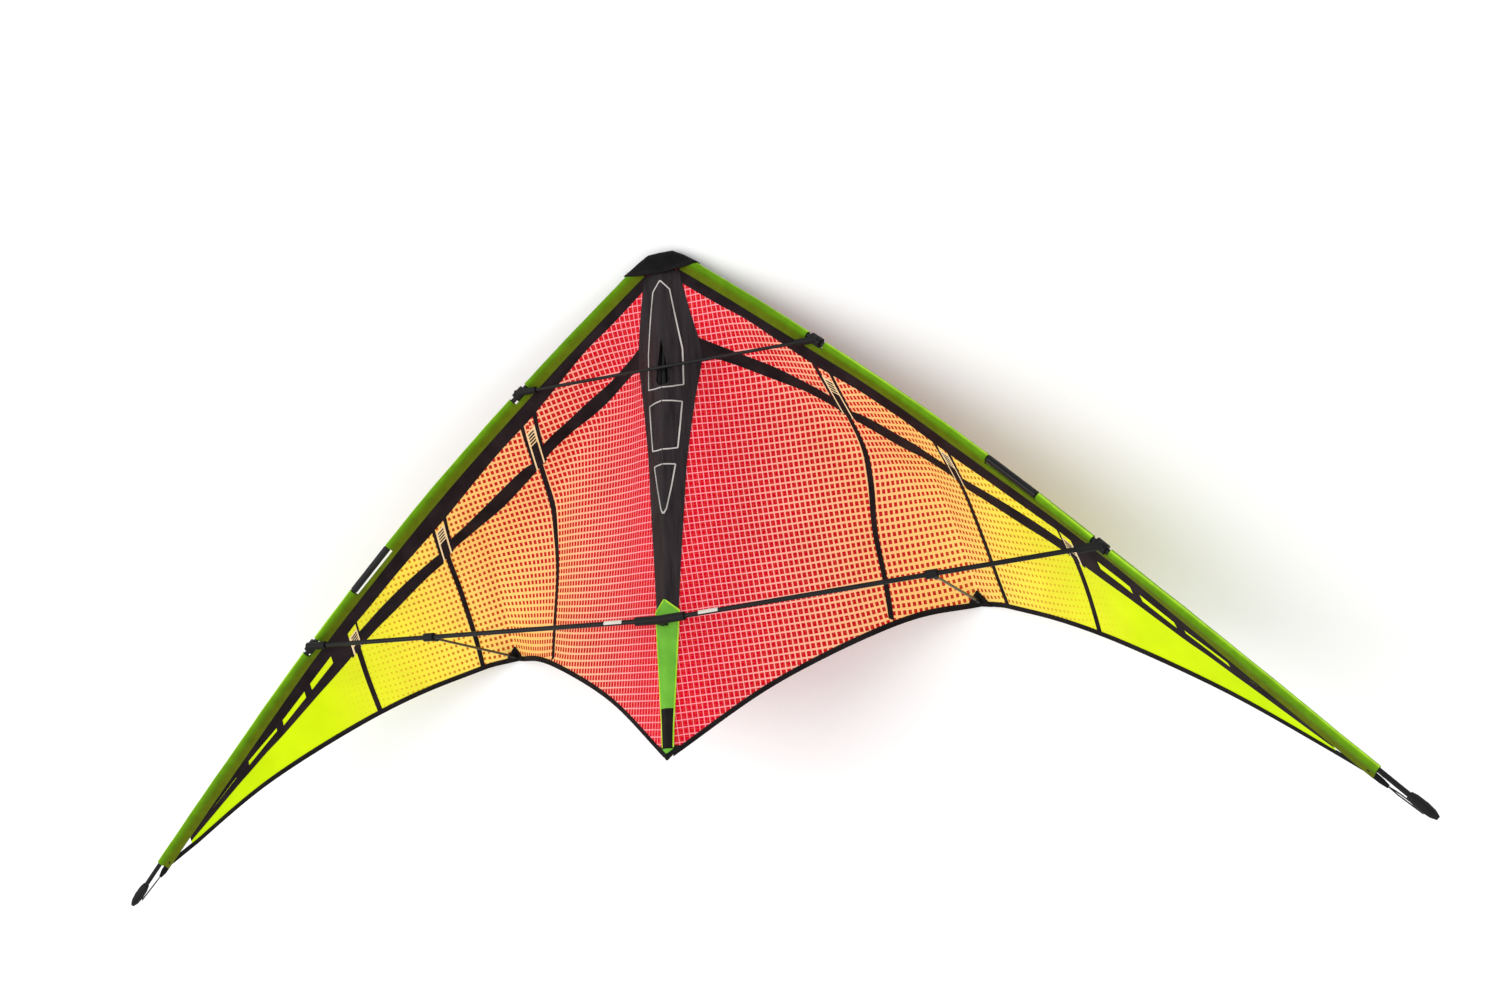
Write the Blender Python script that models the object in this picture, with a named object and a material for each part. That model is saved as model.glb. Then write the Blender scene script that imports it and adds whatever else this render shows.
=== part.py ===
"""A dual-line delta stunt kite with a carbon frame, laid down on its back as it parks.

Every piece is drawn in the kite's own frame, in metres: +X to the flyer's right, +Y towards
the nose and +Z towards the flyer, with the front of the spine panel near Z = 0. An empty then
lowers the kite until its nose and its two standoff corners rest on the ground.
"""

import math

import bmesh
import bpy
from mathutils import Matrix, Vector

# Gaps between pieces that touch

SEAT_GAP = 0.0003
SEAM_GAP = 0.0005
HEM_GAP = 0.0009

# Rods

ROD_RADIUS = 0.00275
UPPER_SPREADER_RADIUS = 0.0019
STANDOFF_RADIUS = 0.0015
ROUND_SIDES = 12

# Leading edge: points that the bent rod's axis passes through

LEADING_EDGE = (
    Vector((0.015, 0.0095, -0.0040)),
    Vector((0.100, -0.0552, -0.0043)),
    Vector((0.200, -0.1347, -0.0045)),
    Vector((0.300, -0.2178, -0.0072)),
    Vector((0.400, -0.3082, -0.0112)),
    Vector((0.500, -0.4040, -0.0172)),
    Vector((0.600, -0.5020, -0.0290)),
    Vector((0.700, -0.6020, -0.0412)),
    Vector((0.775, -0.6770, -0.0525)),
)
ROD_START_X = 0.026
SLEEVE_START_X = 0.030
SLEEVE_END_X = 0.729
SLEEVE_STEPS = 26
SLEEVE_WIDTH = 0.0123
SLEEVE_TURNS = (
    (0.0, 8),
    (0.14, 14),
    (0.19, 27),
    (0.23, 40),
    (0.28, 40),
    (0.34, 34),
    (0.39, 42),
    (0.44, 55),
    (0.50, 61),
    (0.56, 51),
    (0.62, 43),
    (0.80, 42),
)
SLEEVE_BORE = 0.0032
SLEEVE_WALL = 0.0010
SLEEVE_HEM = 0.0014
SLEEVE_NECK = 0.0062
SLEEVE_ROUND_ANGLES = (45, 80, 115, 150, 180, 210, 245, 280, 315)
SLEEVE_HOLE_ANGLES = (-8, 8, 25, *SLEEVE_ROUND_ANGLES, 335)
WINDOW_X = 0.400
WINDOW_LENGTH = 0.075
FERRULE_LENGTH = 0.066
FERRULE_WALL = 0.0009
CUT_OUT_LENGTH = 0.023
CUT_OUT_REACH = 0.0088
CUTTER_DEPTH = 0.030

# Leading edge fittings

UPPER_FITTING_X = 0.189
LOWER_FITTING_X = 0.487
FITTING_RADIUS = 0.0058
FITTING_LENGTH = 0.014
SOCKET_WALL = 0.0020
SOCKET_REACH = 0.024
SOCKET_BACK = 0.0035
UPPER_SPREADER_Z = -0.0010
LOWER_SOCKET_LIFT = 0.003

# Sail: where its ribs start on the leading edge and end on the trailing edge

CREST_TOP = Vector((0.0, -0.005, -0.001))
SHOULDER_X = 0.027
HEAD_X = (0.0, 0.183, 0.3185, 0.4410, 0.713)
STANDOFF_STATION = 1 + 2 / 3
FRONT_STATIONS = (0.0, 0.5, 1.0, STANDOFF_STATION)
FRONT_TRAILING_EDGE = (
    Vector((0.0, -0.569, -0.001)),
    Vector((0.105, -0.4865, -0.062)),
    Vector((0.222, -0.4240, -0.127)),
    Vector((0.3005, -0.4020, -0.1825)),
)
REAR_STATIONS = (STANDOFF_STATION, 2.0, 3.0, 3.5, 4.0)
REAR_TRAILING_EDGE = (
    Vector((0.3005, -0.4020, -0.1825)),
    Vector((0.3385, -0.4125, -0.1630)),
    Vector((0.4545, -0.4640, -0.1120)),
    Vector((0.586, -0.5405, -0.0720)),
    Vector((0.709, -0.6255, -0.0580)),
)
LAST_STATION = 3.93

# How the ribs sag behind a straight line: each one's depth, and how far down it is deepest

SAG_STATIONS = (0.0, 0.11, 0.22, 0.33, 0.55, 0.8, 1.0, 2.0, 3.0, 4.0)
SAG_SHAPES = (
    Vector((0.0, 0.20)),
    Vector((0.0025, 0.20)),
    Vector((0.0115, 0.20)),
    Vector((0.024, 0.20)),
    Vector((0.040, 0.20)),
    Vector((0.048, 0.26)),
    Vector((0.050, 0.37)),
    Vector((0.006, 0.42)),
    Vector((0.003, 0.42)),
    Vector((0.0, 0.42)),
)
SAG_EASE = 1.3
SEAM_BOW = 0.025
SAIL_THICKNESS = 0.0010
CENTRE_GAP_STATION = 0.0025
BINDING_WIDTH = 0.006
BINDING_THICKNESS = 0.0016
BINDING_FIRST_STATION = 0.034

# Centre panels: half widths at fractions of the way from the nose to the tail

CENTRE_HALF_WIDTHS = (
    (0.0, 0.0280),
    (0.137, 0.0420),
    (0.183, 0.0440),
    (0.284, 0.0356),
    (0.430, 0.0254),
    (0.640, 0.0167),
    (0.737, 0.0134),
    (0.928, 0.0072),
    (1.0, 0.0060),
)
CENTRE_ROWS = 32
SPINE_PANEL_ROWS = (1, 23)
TAIL_PANEL_ROWS = (24, 29)
TAIL_POCKET_ROWS = (29, 31)
TAIL_PATCH_ROWS = (31, 32)
TOP_ROW_SHARE = 0.75
SPINE_SLEEVE_WALL = 0.0008
SPINE_SLEEVE_STEPS = 10
SPINE_SLEEVE_LOWEST_TOP = 0.0004
UPPER_SLEEVE_DROPS = (0.025, 0.710)
LOWER_SLEEVE_DROPS = (0.760, 0.975)
TEARDROP_APEX_Y = -0.093
TEARDROP_ROUND_Y = -0.1385
TEARDROP_RADIUS = 0.0085
TEARDROP_CUT_Z = (-0.02, 0.01)
TEARDROP_ROUND_STEPS = 12

# Spine, tee and standoffs

SPINE_Z = -0.0072
SPINE_TOP_Y = -0.004
SPINE_TAIL_Y = -0.557
TEE_CENTRE = Vector((0.0, -0.4176, 0.0121))
TEE_REACH = 0.030
TEE_RADIUS = 0.0050
TEE_MIDDLE_WALL = 0.0040
BOSS_Y = -0.4174
BOSS_LENGTH = 0.0105
BOSS_RADIUS = 0.0056
WEB_WIDTH = 0.0072
WEB_LENGTH = BOSS_LENGTH - 0.001
CUTTER_EXCESS = 0.005
SMALL_CUTTER_EXCESS = 0.002
BAND_X = (0.047, 0.070)
BAND_WALL = 0.0006
STANDOFF_X = 0.310
CLIP_RADIUS = 0.0050
CLIP_LENGTH = 0.013
CLIP_SOCKET_REACH = 0.015
CLIP_SOCKET_RADIUS = 0.0033
CLIP_SEAT_START = 0.006
CAP_RADIUS = 0.0024
CAP_LENGTH = 0.013
CAP_END_WALL = 0.003
CAP_END_ANGLES = (0.0, 0.5, 1.0, 1.4)
PATCH_THICKNESS = 0.0012
PATCH_LIFT = BINDING_THICKNESS / 2 + 2 * SEAT_GAP
PATCH_HALF_STATION = 0.14
PATCH_HEIGHT = 0.021
PATCH_EDGE_GAP = 0.0005
PATCH_APEX_SHARE = 0.12
PATCH_ROWS = 4
FOOT_FROM_EDGE = 0.009
NEAR_FOOT = 0.999

# Nose cap: the right half of its outline, seen from the front

NOSE_OUTLINE = (
    (0.0, 0.0125),
    (0.0145, 0.0122),
    (0.0285, 0.0066),
    (0.0475, -0.0068),
    (0.026, -0.0130),
    (0.0, -0.0143),
)
NOSE_BACK_Z = -0.0115
NOSE_FRONT_Z = 0.0024
NOSE_WALL = 0.0009
NOSE_HOLLOW_DROP = NOSE_WALL * 1.35
NOSE_MOUTH = ((0.0625, -0.0190), (0.040, -0.045), (0.0, -0.045))

# Wing tips

ROD_END_X = 0.7655
NOCK_X = 0.775
NOCK_PROFILE = (
    (-0.030, 0.0038),
    (-0.024, 0.0052),
    (-0.012, 0.0056),
    (-0.003, 0.0046),
    (0.003, 0.0022),
)
TAB_LENGTH = 0.016
TAB_WIDTH = 0.007
TAB_THICKNESS = 0.0016
ELASTIC_RADIUS = 0.0009
ELASTIC_END = 0.010

SIDES = (("left", -1), ("right", 1))


# Scene and materials


def clear_scene():
    """Removes whatever the startup file put in the scene."""
    for thing in list(bpy.data.objects):
        bpy.data.objects.remove(thing, do_unlink=True)


def make_material(name, colour, roughness, metallic=0.0):
    """A plain Principled material."""
    material = bpy.data.materials.new(name)
    material.use_nodes = True
    shader = material.node_tree.nodes["Principled BSDF"]
    shader.inputs["Base Color"].default_value = (*colour, 1.0)
    shader.inputs["Roughness"].default_value = roughness
    shader.inputs["Metallic"].default_value = metallic
    material.diffuse_color = (*colour, 1.0)
    return material


clear_scene()
CARBON = make_material("carbon", (0.015, 0.015, 0.017), 0.35)
MOULDED = make_material("moulded", (0.012, 0.012, 0.012), 0.55)
BLACK_CLOTH = make_material("black_cloth", (0.016, 0.011, 0.013), 0.75)
SLEEVE_GREEN = make_material("sleeve_green", (0.09, 0.23, 0.012), 0.7)
TAIL_GREEN = make_material("tail_green", (0.16, 0.48, 0.04), 0.6)
SAIL_RED = make_material("sail_red", (0.79, 0.02, 0.03), 0.5)
SAIL_ORANGE = make_material("sail_orange", (0.90, 0.22, 0.06), 0.5)
SAIL_YELLOW = make_material("sail_yellow", (0.93, 0.60, 0.07), 0.5)
SAIL_LIME = make_material("sail_lime", (0.58, 0.90, 0.01), 0.5)
BAND_WHITE = make_material("band_white", (0.85, 0.80, 0.68), 0.5)

FRAME = bpy.data.objects.new("kite_frame", None)
bpy.context.collection.objects.link(FRAME)


# Curves

EDGE_STEP = 0.0005
SURFACE_STEP = 0.002


def spline(stations, points, station):
    """A smooth curve through the points, each at its station."""
    last = len(points) - 1
    i = 0
    while i < last - 1 and station > stations[i + 1]:
        i += 1

    def tangent(k):
        a, b = max(k - 1, 0), min(k + 1, last)
        return (points[b] - points[a]) / (stations[b] - stations[a])

    span = stations[i + 1] - stations[i]
    t = (station - stations[i]) / span
    ease = t * t * (3 - 2 * t)
    start = tangent(i) * span * t * (1 - t) ** 2
    end = tangent(i + 1) * span * t * t * (1 - t)
    return points[i].lerp(points[i + 1], ease) + start - end


def interpolate(pairs, value):
    """The height at this value of the broken line through the pairs."""
    for (x0, y0), (x1, y1) in zip(pairs, pairs[1:]):
        if value <= x1:
            return y0 + (y1 - y0) * (value - x0) / (x1 - x0)
    return pairs[-1][1]


def mirrored(point, side):
    """The point itself on the right wing, and its mirror image on the left."""
    return Vector((point.x * side, point.y, point.z))


# Leading edge and sail surface, for the right wing


def leading_edge(x):
    """The leading edge rod's axis at this distance out."""
    return spline([point.x for point in LEADING_EDGE], LEADING_EDGE, x)


def leading_direction(x):
    """The rod's direction there, towards the tip."""
    return (leading_edge(x + EDGE_STEP) - leading_edge(x - EDGE_STEP)).normalized()


def sleeve_inward(x):
    """The vector from the rod's axis to the sleeve's hem, which turns back with the sail."""
    along = leading_direction(x)
    level = Vector((along.y, -along.x, 0)).normalized()
    turn = math.radians(interpolate(SLEEVE_TURNS, x))
    return level * (SLEEVE_WIDTH * math.cos(turn)) - Vector((0, 0, SLEEVE_WIDTH * math.sin(turn)))


def sleeve_hem(x):
    return leading_edge(x) + sleeve_inward(x)


def sail_head(station):
    """Where the sail's rib at this station leaves the leading edge."""
    x = interpolate(tuple(enumerate(HEAD_X)), station)
    if x < SHOULDER_X:
        return CREST_TOP.lerp(sleeve_hem(SHOULDER_X), x / SHOULDER_X)
    return sleeve_hem(x)


def sail_foot(station):
    """Where the rib ends on the trailing edge."""
    if station <= STANDOFF_STATION:
        return spline(FRONT_STATIONS, FRONT_TRAILING_EDGE, station)
    return spline(REAR_STATIONS, REAR_TRAILING_EDGE, station)


def sail_sag(station, drop):
    """How far the rib sags behind the straight line between its ends: quickly, then back slowly."""
    depth, deepest = spline(SAG_STATIONS, SAG_SHAPES, station)
    if drop < deepest:
        rise = max(drop, 0.0) / deepest
        return depth * rise * rise * (3 - 2 * rise)
    return depth * (1 - min((drop - deepest) / (1 - deepest), 1.0) ** SAG_EASE)


def rib_length(station):
    """The straight distance from the rib's head to its foot."""
    return (sail_head(station) - sail_foot(station)).length


def sail_point(station, drop):
    """The sail's surface: station runs along the wing and drop from the head (0) to the foot (1)."""
    out = abs(station)
    bow = SEAM_BOW * min(out, 1.0) * rib_length(out) * math.sin(math.pi * min(max(drop, 0.0), 1.0))
    point = sail_head(out).lerp(sail_foot(out), drop) + Vector((bow, 0, -sail_sag(out, drop)))
    return mirrored(point, -1 if station < 0 else 1)


def sail_normal(station, drop):
    """The surface's direction towards the flyer."""
    step = SURFACE_STEP
    across = sail_point(station + step, drop) - sail_point(station - step, drop)
    down = sail_point(station, drop + step) - sail_point(station, drop - step)
    return down.cross(across).normalized()


def station_at(offset, drop):
    """The station this far out from the kite's middle line, inside the first seam."""
    head, foot = sail_head(1.0).x, sail_foot(1.0).x
    return offset / (head + (foot - head) * drop)


def centre_station(drop):
    """The station of the centre panels' edge at this drop."""
    return station_at(interpolate(CENTRE_HALF_WIDTHS, drop), drop)


# Meshes


def finish(name, mesh, material, origin=None):
    """Makes the object of a bmesh, with its normals outward, under the kite's frame."""
    bmesh.ops.recalc_face_normals(mesh, faces=mesh.faces)
    data = bpy.data.meshes.new(name)
    if origin is not None:
        bmesh.ops.translate(mesh, vec=-origin, verts=mesh.verts)
    mesh.to_mesh(data)
    mesh.free()
    data.materials.append(material)
    thing = bpy.data.objects.new(name, data)
    bpy.context.collection.objects.link(thing)
    thing.parent = FRAME
    if origin is not None:
        thing.location = origin
    return thing


def grid_normals(grid):
    """A unit normal at each point of a grid, towards the flyer."""
    normals = []
    for i, row in enumerate(grid):
        line = []
        for j in range(len(row)):
            down = grid[min(i + 1, len(grid) - 1)][j] - grid[max(i - 1, 0)][j]
            across = row[min(j + 1, len(row) - 1)] - row[max(j - 1, 0)]
            normal = down.cross(across).normalized()
            line.append(normal if normal.z > 0 else -normal)
        normals.append(line)
    return normals


def sheet(name, grid, thickness, material, lift=0.0):
    """A closed thin solid whose middle is the grid, raised by lift towards the flyer."""
    mesh = bmesh.new()
    normals = grid_normals(grid)
    layers = []
    for offset in (lift + thickness / 2, lift - thickness / 2):
        layers.append(
            [
                [mesh.verts.new(p + n * offset) for p, n in zip(row, line)]
                for row, line in zip(grid, normals)
            ]
        )
    for layer in layers:
        for upper, lower in zip(layer, layer[1:]):
            for j in range(len(upper) - 1):
                mesh.faces.new((upper[j], upper[j + 1], lower[j + 1], lower[j]))
    rims = [rim_of(layer) for layer in layers]
    for k in range(len(rims[0])):
        after = (k + 1) % len(rims[0])
        mesh.faces.new((rims[0][k], rims[0][after], rims[1][after], rims[1][k]))
    return finish(name, mesh, material)


def rim_of(layer):
    """The grid's outer points, once round."""
    right = [row[-1] for row in layer[1:-1]]
    left = [row[0] for row in reversed(layer[1:-1])]
    return layer[0] + right + list(reversed(layer[-1])) + left


def sweep(name, sections, material, holes=None, origin=None):
    """A closed solid through the sections, each a loop of points, with an open bore through the holes."""
    mesh = bmesh.new()

    def skin(loops):
        rings = [[mesh.verts.new(p) for p in loop] for loop in loops]
        for first, second in zip(rings, rings[1:]):
            for k in range(len(first)):
                after = (k + 1) % len(first)
                mesh.faces.new((first[k], first[after], second[after], second[k]))
        return rings

    outer = skin(sections)
    inner = skin(holes) if holes else None
    for end in (0, -1):
        if inner is None:
            mesh.faces.new(outer[end])
            continue
        for k in range(len(outer[end])):
            after = (k + 1) % len(outer[end])
            mesh.faces.new((outer[end][k], outer[end][after], inner[end][after], inner[end][k]))
    return finish(name, mesh, material, origin)


def circle(centre, direction, radius, sides=ROUND_SIDES):
    """A ring of points round the direction."""
    guide = Vector((0, 0, 1)) if abs(direction.z) < 0.8 else Vector((0, 1, 0))
    first = direction.cross(guide).normalized()
    second = direction.cross(first).normalized()
    angles = [2 * math.pi * k / sides for k in range(sides)]
    return [centre + (first * math.cos(a) + second * math.sin(a)) * radius for a in angles]


def rod(name, path, radius, material, origin=None):
    """A round rod along the path."""
    sections = []
    for i, point in enumerate(path):
        direction = (path[min(i + 1, len(path) - 1)] - path[max(i - 1, 0)]).normalized()
        sections.append(circle(point, direction, radius))
    return sweep(name, sections, material, origin=origin)


def lathe(name, centre, direction, profile, material, origin=None):
    """A round solid: profile pairs a distance along the direction with a radius."""
    sections = [circle(centre + direction * along, direction, radius) for along, radius in profile]
    return sweep(name, sections, material, origin=origin)


def tube(name, start, end, outer, bore, material, origin=None):
    """A straight tube, open at both ends."""
    direction = (end - start).normalized()
    sections = [circle(p, direction, outer) for p in (start, end)]
    holes = [circle(p, direction, bore) for p in (start, end)]
    return sweep(name, sections, material, holes, origin)


def block(name, centre, axes, sizes, material):
    """A box with its sides along the three axes."""
    mesh = bmesh.new()
    bmesh.ops.create_cube(mesh, size=1.0)
    turn = Matrix(axes).transposed().to_4x4()
    turn = Matrix.Translation(centre) @ turn @ Matrix.Diagonal((*sizes, 1.0))
    bmesh.ops.transform(mesh, matrix=turn, verts=mesh.verts)
    return finish(name, mesh, material)


def combine(target, tool, operation):
    """Adds an exact Boolean of the target with a helper, and hides the helper."""
    tool.hide_render = True
    tool.display_type = "WIRE"
    modifier = target.modifiers.new(tool.name, "BOOLEAN")
    modifier.operation = operation
    modifier.solver = "EXACT"
    modifier.object = tool


# Frame of carbon rods


def spine():
    path = [Vector((0, SPINE_TOP_Y, SPINE_Z)), Vector((0, SPINE_TAIL_Y, SPINE_Z))]
    rod("spine", path, ROD_RADIUS, CARBON)


def edge_path(start_x, end_x, steps):
    return [leading_edge(start_x + (end_x - start_x) * i / steps) for i in range(steps + 1)]


def leading_edge_rods(side, hand):
    """Two rods that meet inside a ferrule, in the sleeve's window."""
    meeting = SEAT_GAP / 2
    upper = edge_path(ROD_START_X, WINDOW_X - meeting, SLEEVE_STEPS // 2)
    lower = edge_path(WINDOW_X + meeting, ROD_END_X, SLEEVE_STEPS // 2)
    for part, path in (("upper", upper), ("lower", lower)):
        path = [mirrored(p, side) for p in path]
        rod(f"leading_edge_{part}_rod_{hand}", path, ROD_RADIUS, CARBON)


def ferrule(side, hand):
    """The joint sleeve over the ends of both leading edge rods."""
    centre = leading_edge(WINDOW_X)
    reach = leading_direction(WINDOW_X) * FERRULE_LENGTH / 2
    start, end = mirrored(centre - reach, side), mirrored(centre + reach, side)
    bore = ROD_RADIUS + 2 * SEAT_GAP
    tube(f"leading_edge_ferrule_{hand}", start, end, bore + FERRULE_WALL, bore, MOULDED)


def lower_spreader_end():
    """Where the lower spreader's axis meets its fitting, above the leading edge rod."""
    return leading_edge(LOWER_FITTING_X) + Vector((0, 0, LOWER_SOCKET_LIFT))


def lower_spreader_point(x):
    """The lower spreader's axis at this distance out."""
    return TEE_CENTRE.lerp(lower_spreader_end(), x / lower_spreader_end().x)


def lower_spreader_direction():
    return (lower_spreader_end() - TEE_CENTRE).normalized()


def lower_spreader(side, hand):
    """A rod from the tee to the lower fitting, with a white band near the tee."""
    direction = lower_spreader_direction()
    start = TEE_CENTRE + direction * (TEE_MIDDLE_WALL + SEAT_GAP)
    end = lower_spreader_end() - direction * (ROD_RADIUS + SOCKET_WALL + 2 * SEAT_GAP)
    path = [mirrored(start, side), mirrored(end, side)]
    rod(f"lower_spreader_{hand}", path, ROD_RADIUS, CARBON)
    ends = [mirrored(lower_spreader_point(x), side) for x in BAND_X]
    bore = ROD_RADIUS + SEAT_GAP
    tube(f"spreader_band_{hand}", ends[0], ends[1], bore + BAND_WALL, bore, BAND_WHITE)


def upper_spreader_end():
    centre = leading_edge(UPPER_FITTING_X)
    return Vector((centre.x, centre.y, UPPER_SPREADER_Z))


def upper_spreader():
    """One rod from wing to wing, which crosses the spine in the panel's opening."""
    reach = Vector((ROD_RADIUS + SOCKET_WALL + 2 * SEAT_GAP, 0, 0))
    end = upper_spreader_end() - reach
    rod("upper_spreader", [mirrored(end, -1), end], UPPER_SPREADER_RADIUS, CARBON)


def centre_tee():
    """The moulded tee: a socket for each lower spreader, and a boss that holds the spine."""
    direction = lower_spreader_direction()
    ends = [mirrored(TEE_CENTRE + direction * TEE_REACH, side) for _, side in SIDES]
    tee = rod("centre_tee", [ends[0], TEE_CENTRE, ends[1]], TEE_RADIUS, MOULDED)
    axis = Vector((0, 1, 0))
    boss_centre = Vector((0, BOSS_Y, SPINE_Z))
    half = axis * BOSS_LENGTH / 2
    boss = rod("tee_boss", [boss_centre - half, boss_centre + half], BOSS_RADIUS, MOULDED)
    web_height = TEE_CENTRE.z - SPINE_Z
    web_centre = Vector((0, BOSS_Y, (TEE_CENTRE.z + SPINE_Z) / 2))
    square = (Vector((1, 0, 0)), Vector((0, 1, 0)), Vector((0, 0, 1)))
    web_sizes = (WEB_WIDTH, WEB_LENGTH, web_height)
    web = block("tee_web", web_centre, square, web_sizes, MOULDED)
    combine(tee, boss, "UNION")
    combine(tee, web, "UNION")
    bore_path = [boss_centre - half * 2, boss_centre + half * 2]
    spine_bore = rod("tee_spine_bore", bore_path, ROD_RADIUS + SEAT_GAP, MOULDED)
    combine(tee, spine_bore, "DIFFERENCE")
    for hand, side in SIDES:
        inner = mirrored(TEE_CENTRE + direction * TEE_MIDDLE_WALL, side)
        outer = mirrored(TEE_CENTRE + direction * (TEE_REACH + CUTTER_EXCESS), side)
        socket = rod(f"tee_socket_{hand}", [inner, outer], ROD_RADIUS + SEAT_GAP, MOULDED)
        combine(tee, socket, "DIFFERENCE")


def edge_fitting(name, x, spreader_axis_end, inward, spreader_radius, side):
    """A moulded fitting: a clamp on the leading edge rod, and a socket for a spreader."""
    centre = mirrored(leading_edge(x), side)
    along = mirrored(leading_direction(x), side)
    half = along * FITTING_LENGTH / 2
    body = rod(name, [centre - half, centre + half], FITTING_RADIUS, MOULDED)
    end = mirrored(spreader_axis_end, side)
    inward = mirrored(inward, side)
    socket_path = [end - inward * SOCKET_BACK, end + inward * SOCKET_REACH]
    socket = rod(f"{name}_socket", socket_path, spreader_radius + SOCKET_WALL, MOULDED)
    combine(body, socket, "UNION")
    clamp_path = [centre - half * 2, centre + half * 2]
    clamp_bore = rod(f"{name}_clamp_bore", clamp_path, ROD_RADIUS + SEAT_GAP, MOULDED)
    combine(body, clamp_bore, "DIFFERENCE")
    bore_start = end + inward * (ROD_RADIUS + SOCKET_WALL + SEAT_GAP)
    bore_path = [bore_start, end + inward * (SOCKET_REACH + CUTTER_EXCESS)]
    bore = rod(f"{name}_bore", bore_path, spreader_radius + SEAT_GAP, MOULDED)
    combine(body, bore, "DIFFERENCE")


def edge_fittings(side, hand):
    """The upper and the lower fitting of one wing."""
    edge_fitting(
        f"upper_connector_{hand}", UPPER_FITTING_X, upper_spreader_end(),
        Vector((-1, 0, 0)), UPPER_SPREADER_RADIUS, side,
    )
    edge_fitting(
        f"lower_connector_{hand}", LOWER_FITTING_X, lower_spreader_end(),
        -lower_spreader_direction(), ROD_RADIUS, side,
    )


# Wing tips


def wing_tip(side, hand):
    """The nock on the rod's end, the webbing tab on the sleeve and the elastic between them."""
    along = leading_direction(NOCK_X)
    tip = leading_edge(NOCK_X)
    nock = lathe(f"tip_nock_{hand}", mirrored(tip, side), mirrored(along, side), NOCK_PROFILE, MOULDED)
    mouth = tip + along * (NOCK_PROFILE[0][0] - SMALL_CUTTER_EXCESS)
    seat = leading_edge(ROD_END_X) + along * SEAT_GAP
    bore_path = [mirrored(mouth, side), mirrored(seat, side)]
    bore = rod(f"nock_bore_{hand}", bore_path, ROD_RADIUS + SEAT_GAP, MOULDED)
    combine(nock, bore, "DIFFERENCE")
    out = leading_direction(SLEEVE_END_X)
    across = sleeve_inward(SLEEVE_END_X).normalized()
    hem = sleeve_hem(SLEEVE_END_X) - across * TAB_WIDTH / 2
    centre = hem + out * (TAB_LENGTH / 2 + SEAT_GAP)
    axes = [mirrored(axis, side) for axis in (out, across, out.cross(across))]
    tab_sizes = (TAB_LENGTH, TAB_WIDTH, TAB_THICKNESS)
    block(f"tip_tab_{hand}", mirrored(centre, side), axes, tab_sizes, BLACK_CLOTH)
    start = hem + out * (TAB_LENGTH + 2 * SEAT_GAP)
    beside = NOCK_PROFILE[2][1] + ELASTIC_RADIUS + SEAT_GAP
    end = tip - along * ELASTIC_END + sleeve_inward(NOCK_X).normalized() * beside
    path = [mirrored(start, side), mirrored(end, side)]
    rod(f"tip_elastic_{hand}", path, ELASTIC_RADIUS, BLACK_CLOTH)


# Cloth


def edge_sleeve(side, hand):
    """The leading edge sleeve: a hem, and a bore round the rod, cut away at its fittings."""
    sections, holes = [], []
    outer_radius = SLEEVE_BORE + SLEEVE_WALL
    for i in range(SLEEVE_STEPS + 1):
        x = SLEEVE_START_X + (SLEEVE_END_X - SLEEVE_START_X) * i / SLEEVE_STEPS
        centre = leading_edge(x)
        inward = sleeve_inward(x)
        width = inward.length
        first = inward.normalized()
        second = leading_direction(x).cross(first).normalized()
        half_hem = SLEEVE_HEM / 2
        flat = [(width, -half_hem), (width, half_hem), (SLEEVE_NECK, half_hem)]
        turns = [math.radians(a) for a in SLEEVE_ROUND_ANGLES]
        curve = [(outer_radius * math.cos(a), outer_radius * math.sin(a)) for a in turns]
        outline = flat + curve + [(SLEEVE_NECK, -half_hem)]
        sections.append([mirrored(centre + first * a + second * b, side) for a, b in outline])
        hole = [(math.cos(math.radians(a)), math.sin(math.radians(a))) for a in SLEEVE_HOLE_ANGLES]
        ring = [centre + (first * a + second * b) * SLEEVE_BORE for a, b in hole]
        holes.append([mirrored(point, side) for point in ring])
    sleeve = sweep(f"leading_edge_sleeve_{hand}", sections, SLEEVE_GREEN, holes)
    cuts = (
        ("upper", UPPER_FITTING_X, CUT_OUT_LENGTH),
        ("window", WINDOW_X, WINDOW_LENGTH),
        ("lower", LOWER_FITTING_X, CUT_OUT_LENGTH),
    )
    for label, x, length in cuts:
        first = sleeve_inward(x).normalized()
        along = leading_direction(x)
        centre = leading_edge(x) + first * (CUT_OUT_REACH - CUTTER_DEPTH / 2)
        axes = [mirrored(axis, side) for axis in (along, first, along.cross(first))]
        name = f"sleeve_cut_{label}_{hand}"
        sizes = (length, CUTTER_DEPTH, CUTTER_DEPTH)
        cutter = block(name, mirrored(centre, side), axes, sizes, SLEEVE_GREEN)
        combine(sleeve, cutter, "DIFFERENCE")


def centre_sheet(name, rows, thickness, material):
    """A panel that lies along the crest, between two rows of the centre grid."""
    first, last = rows
    half_seam = SEAM_GAP / rib_length(0.0) / 2
    grid = []
    for row in range(first, last + 1):
        drop = row / CENTRE_ROWS
        if row == 1:
            drop *= TOP_ROW_SHARE
        if row == first and first > 1:
            drop += half_seam
        if row == last:
            drop -= half_seam
        edge = centre_station(drop)
        grid.append([sail_point(edge * k / 3, drop) for k in range(-3, 4)])
    return sheet(name, grid, thickness, material)


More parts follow.
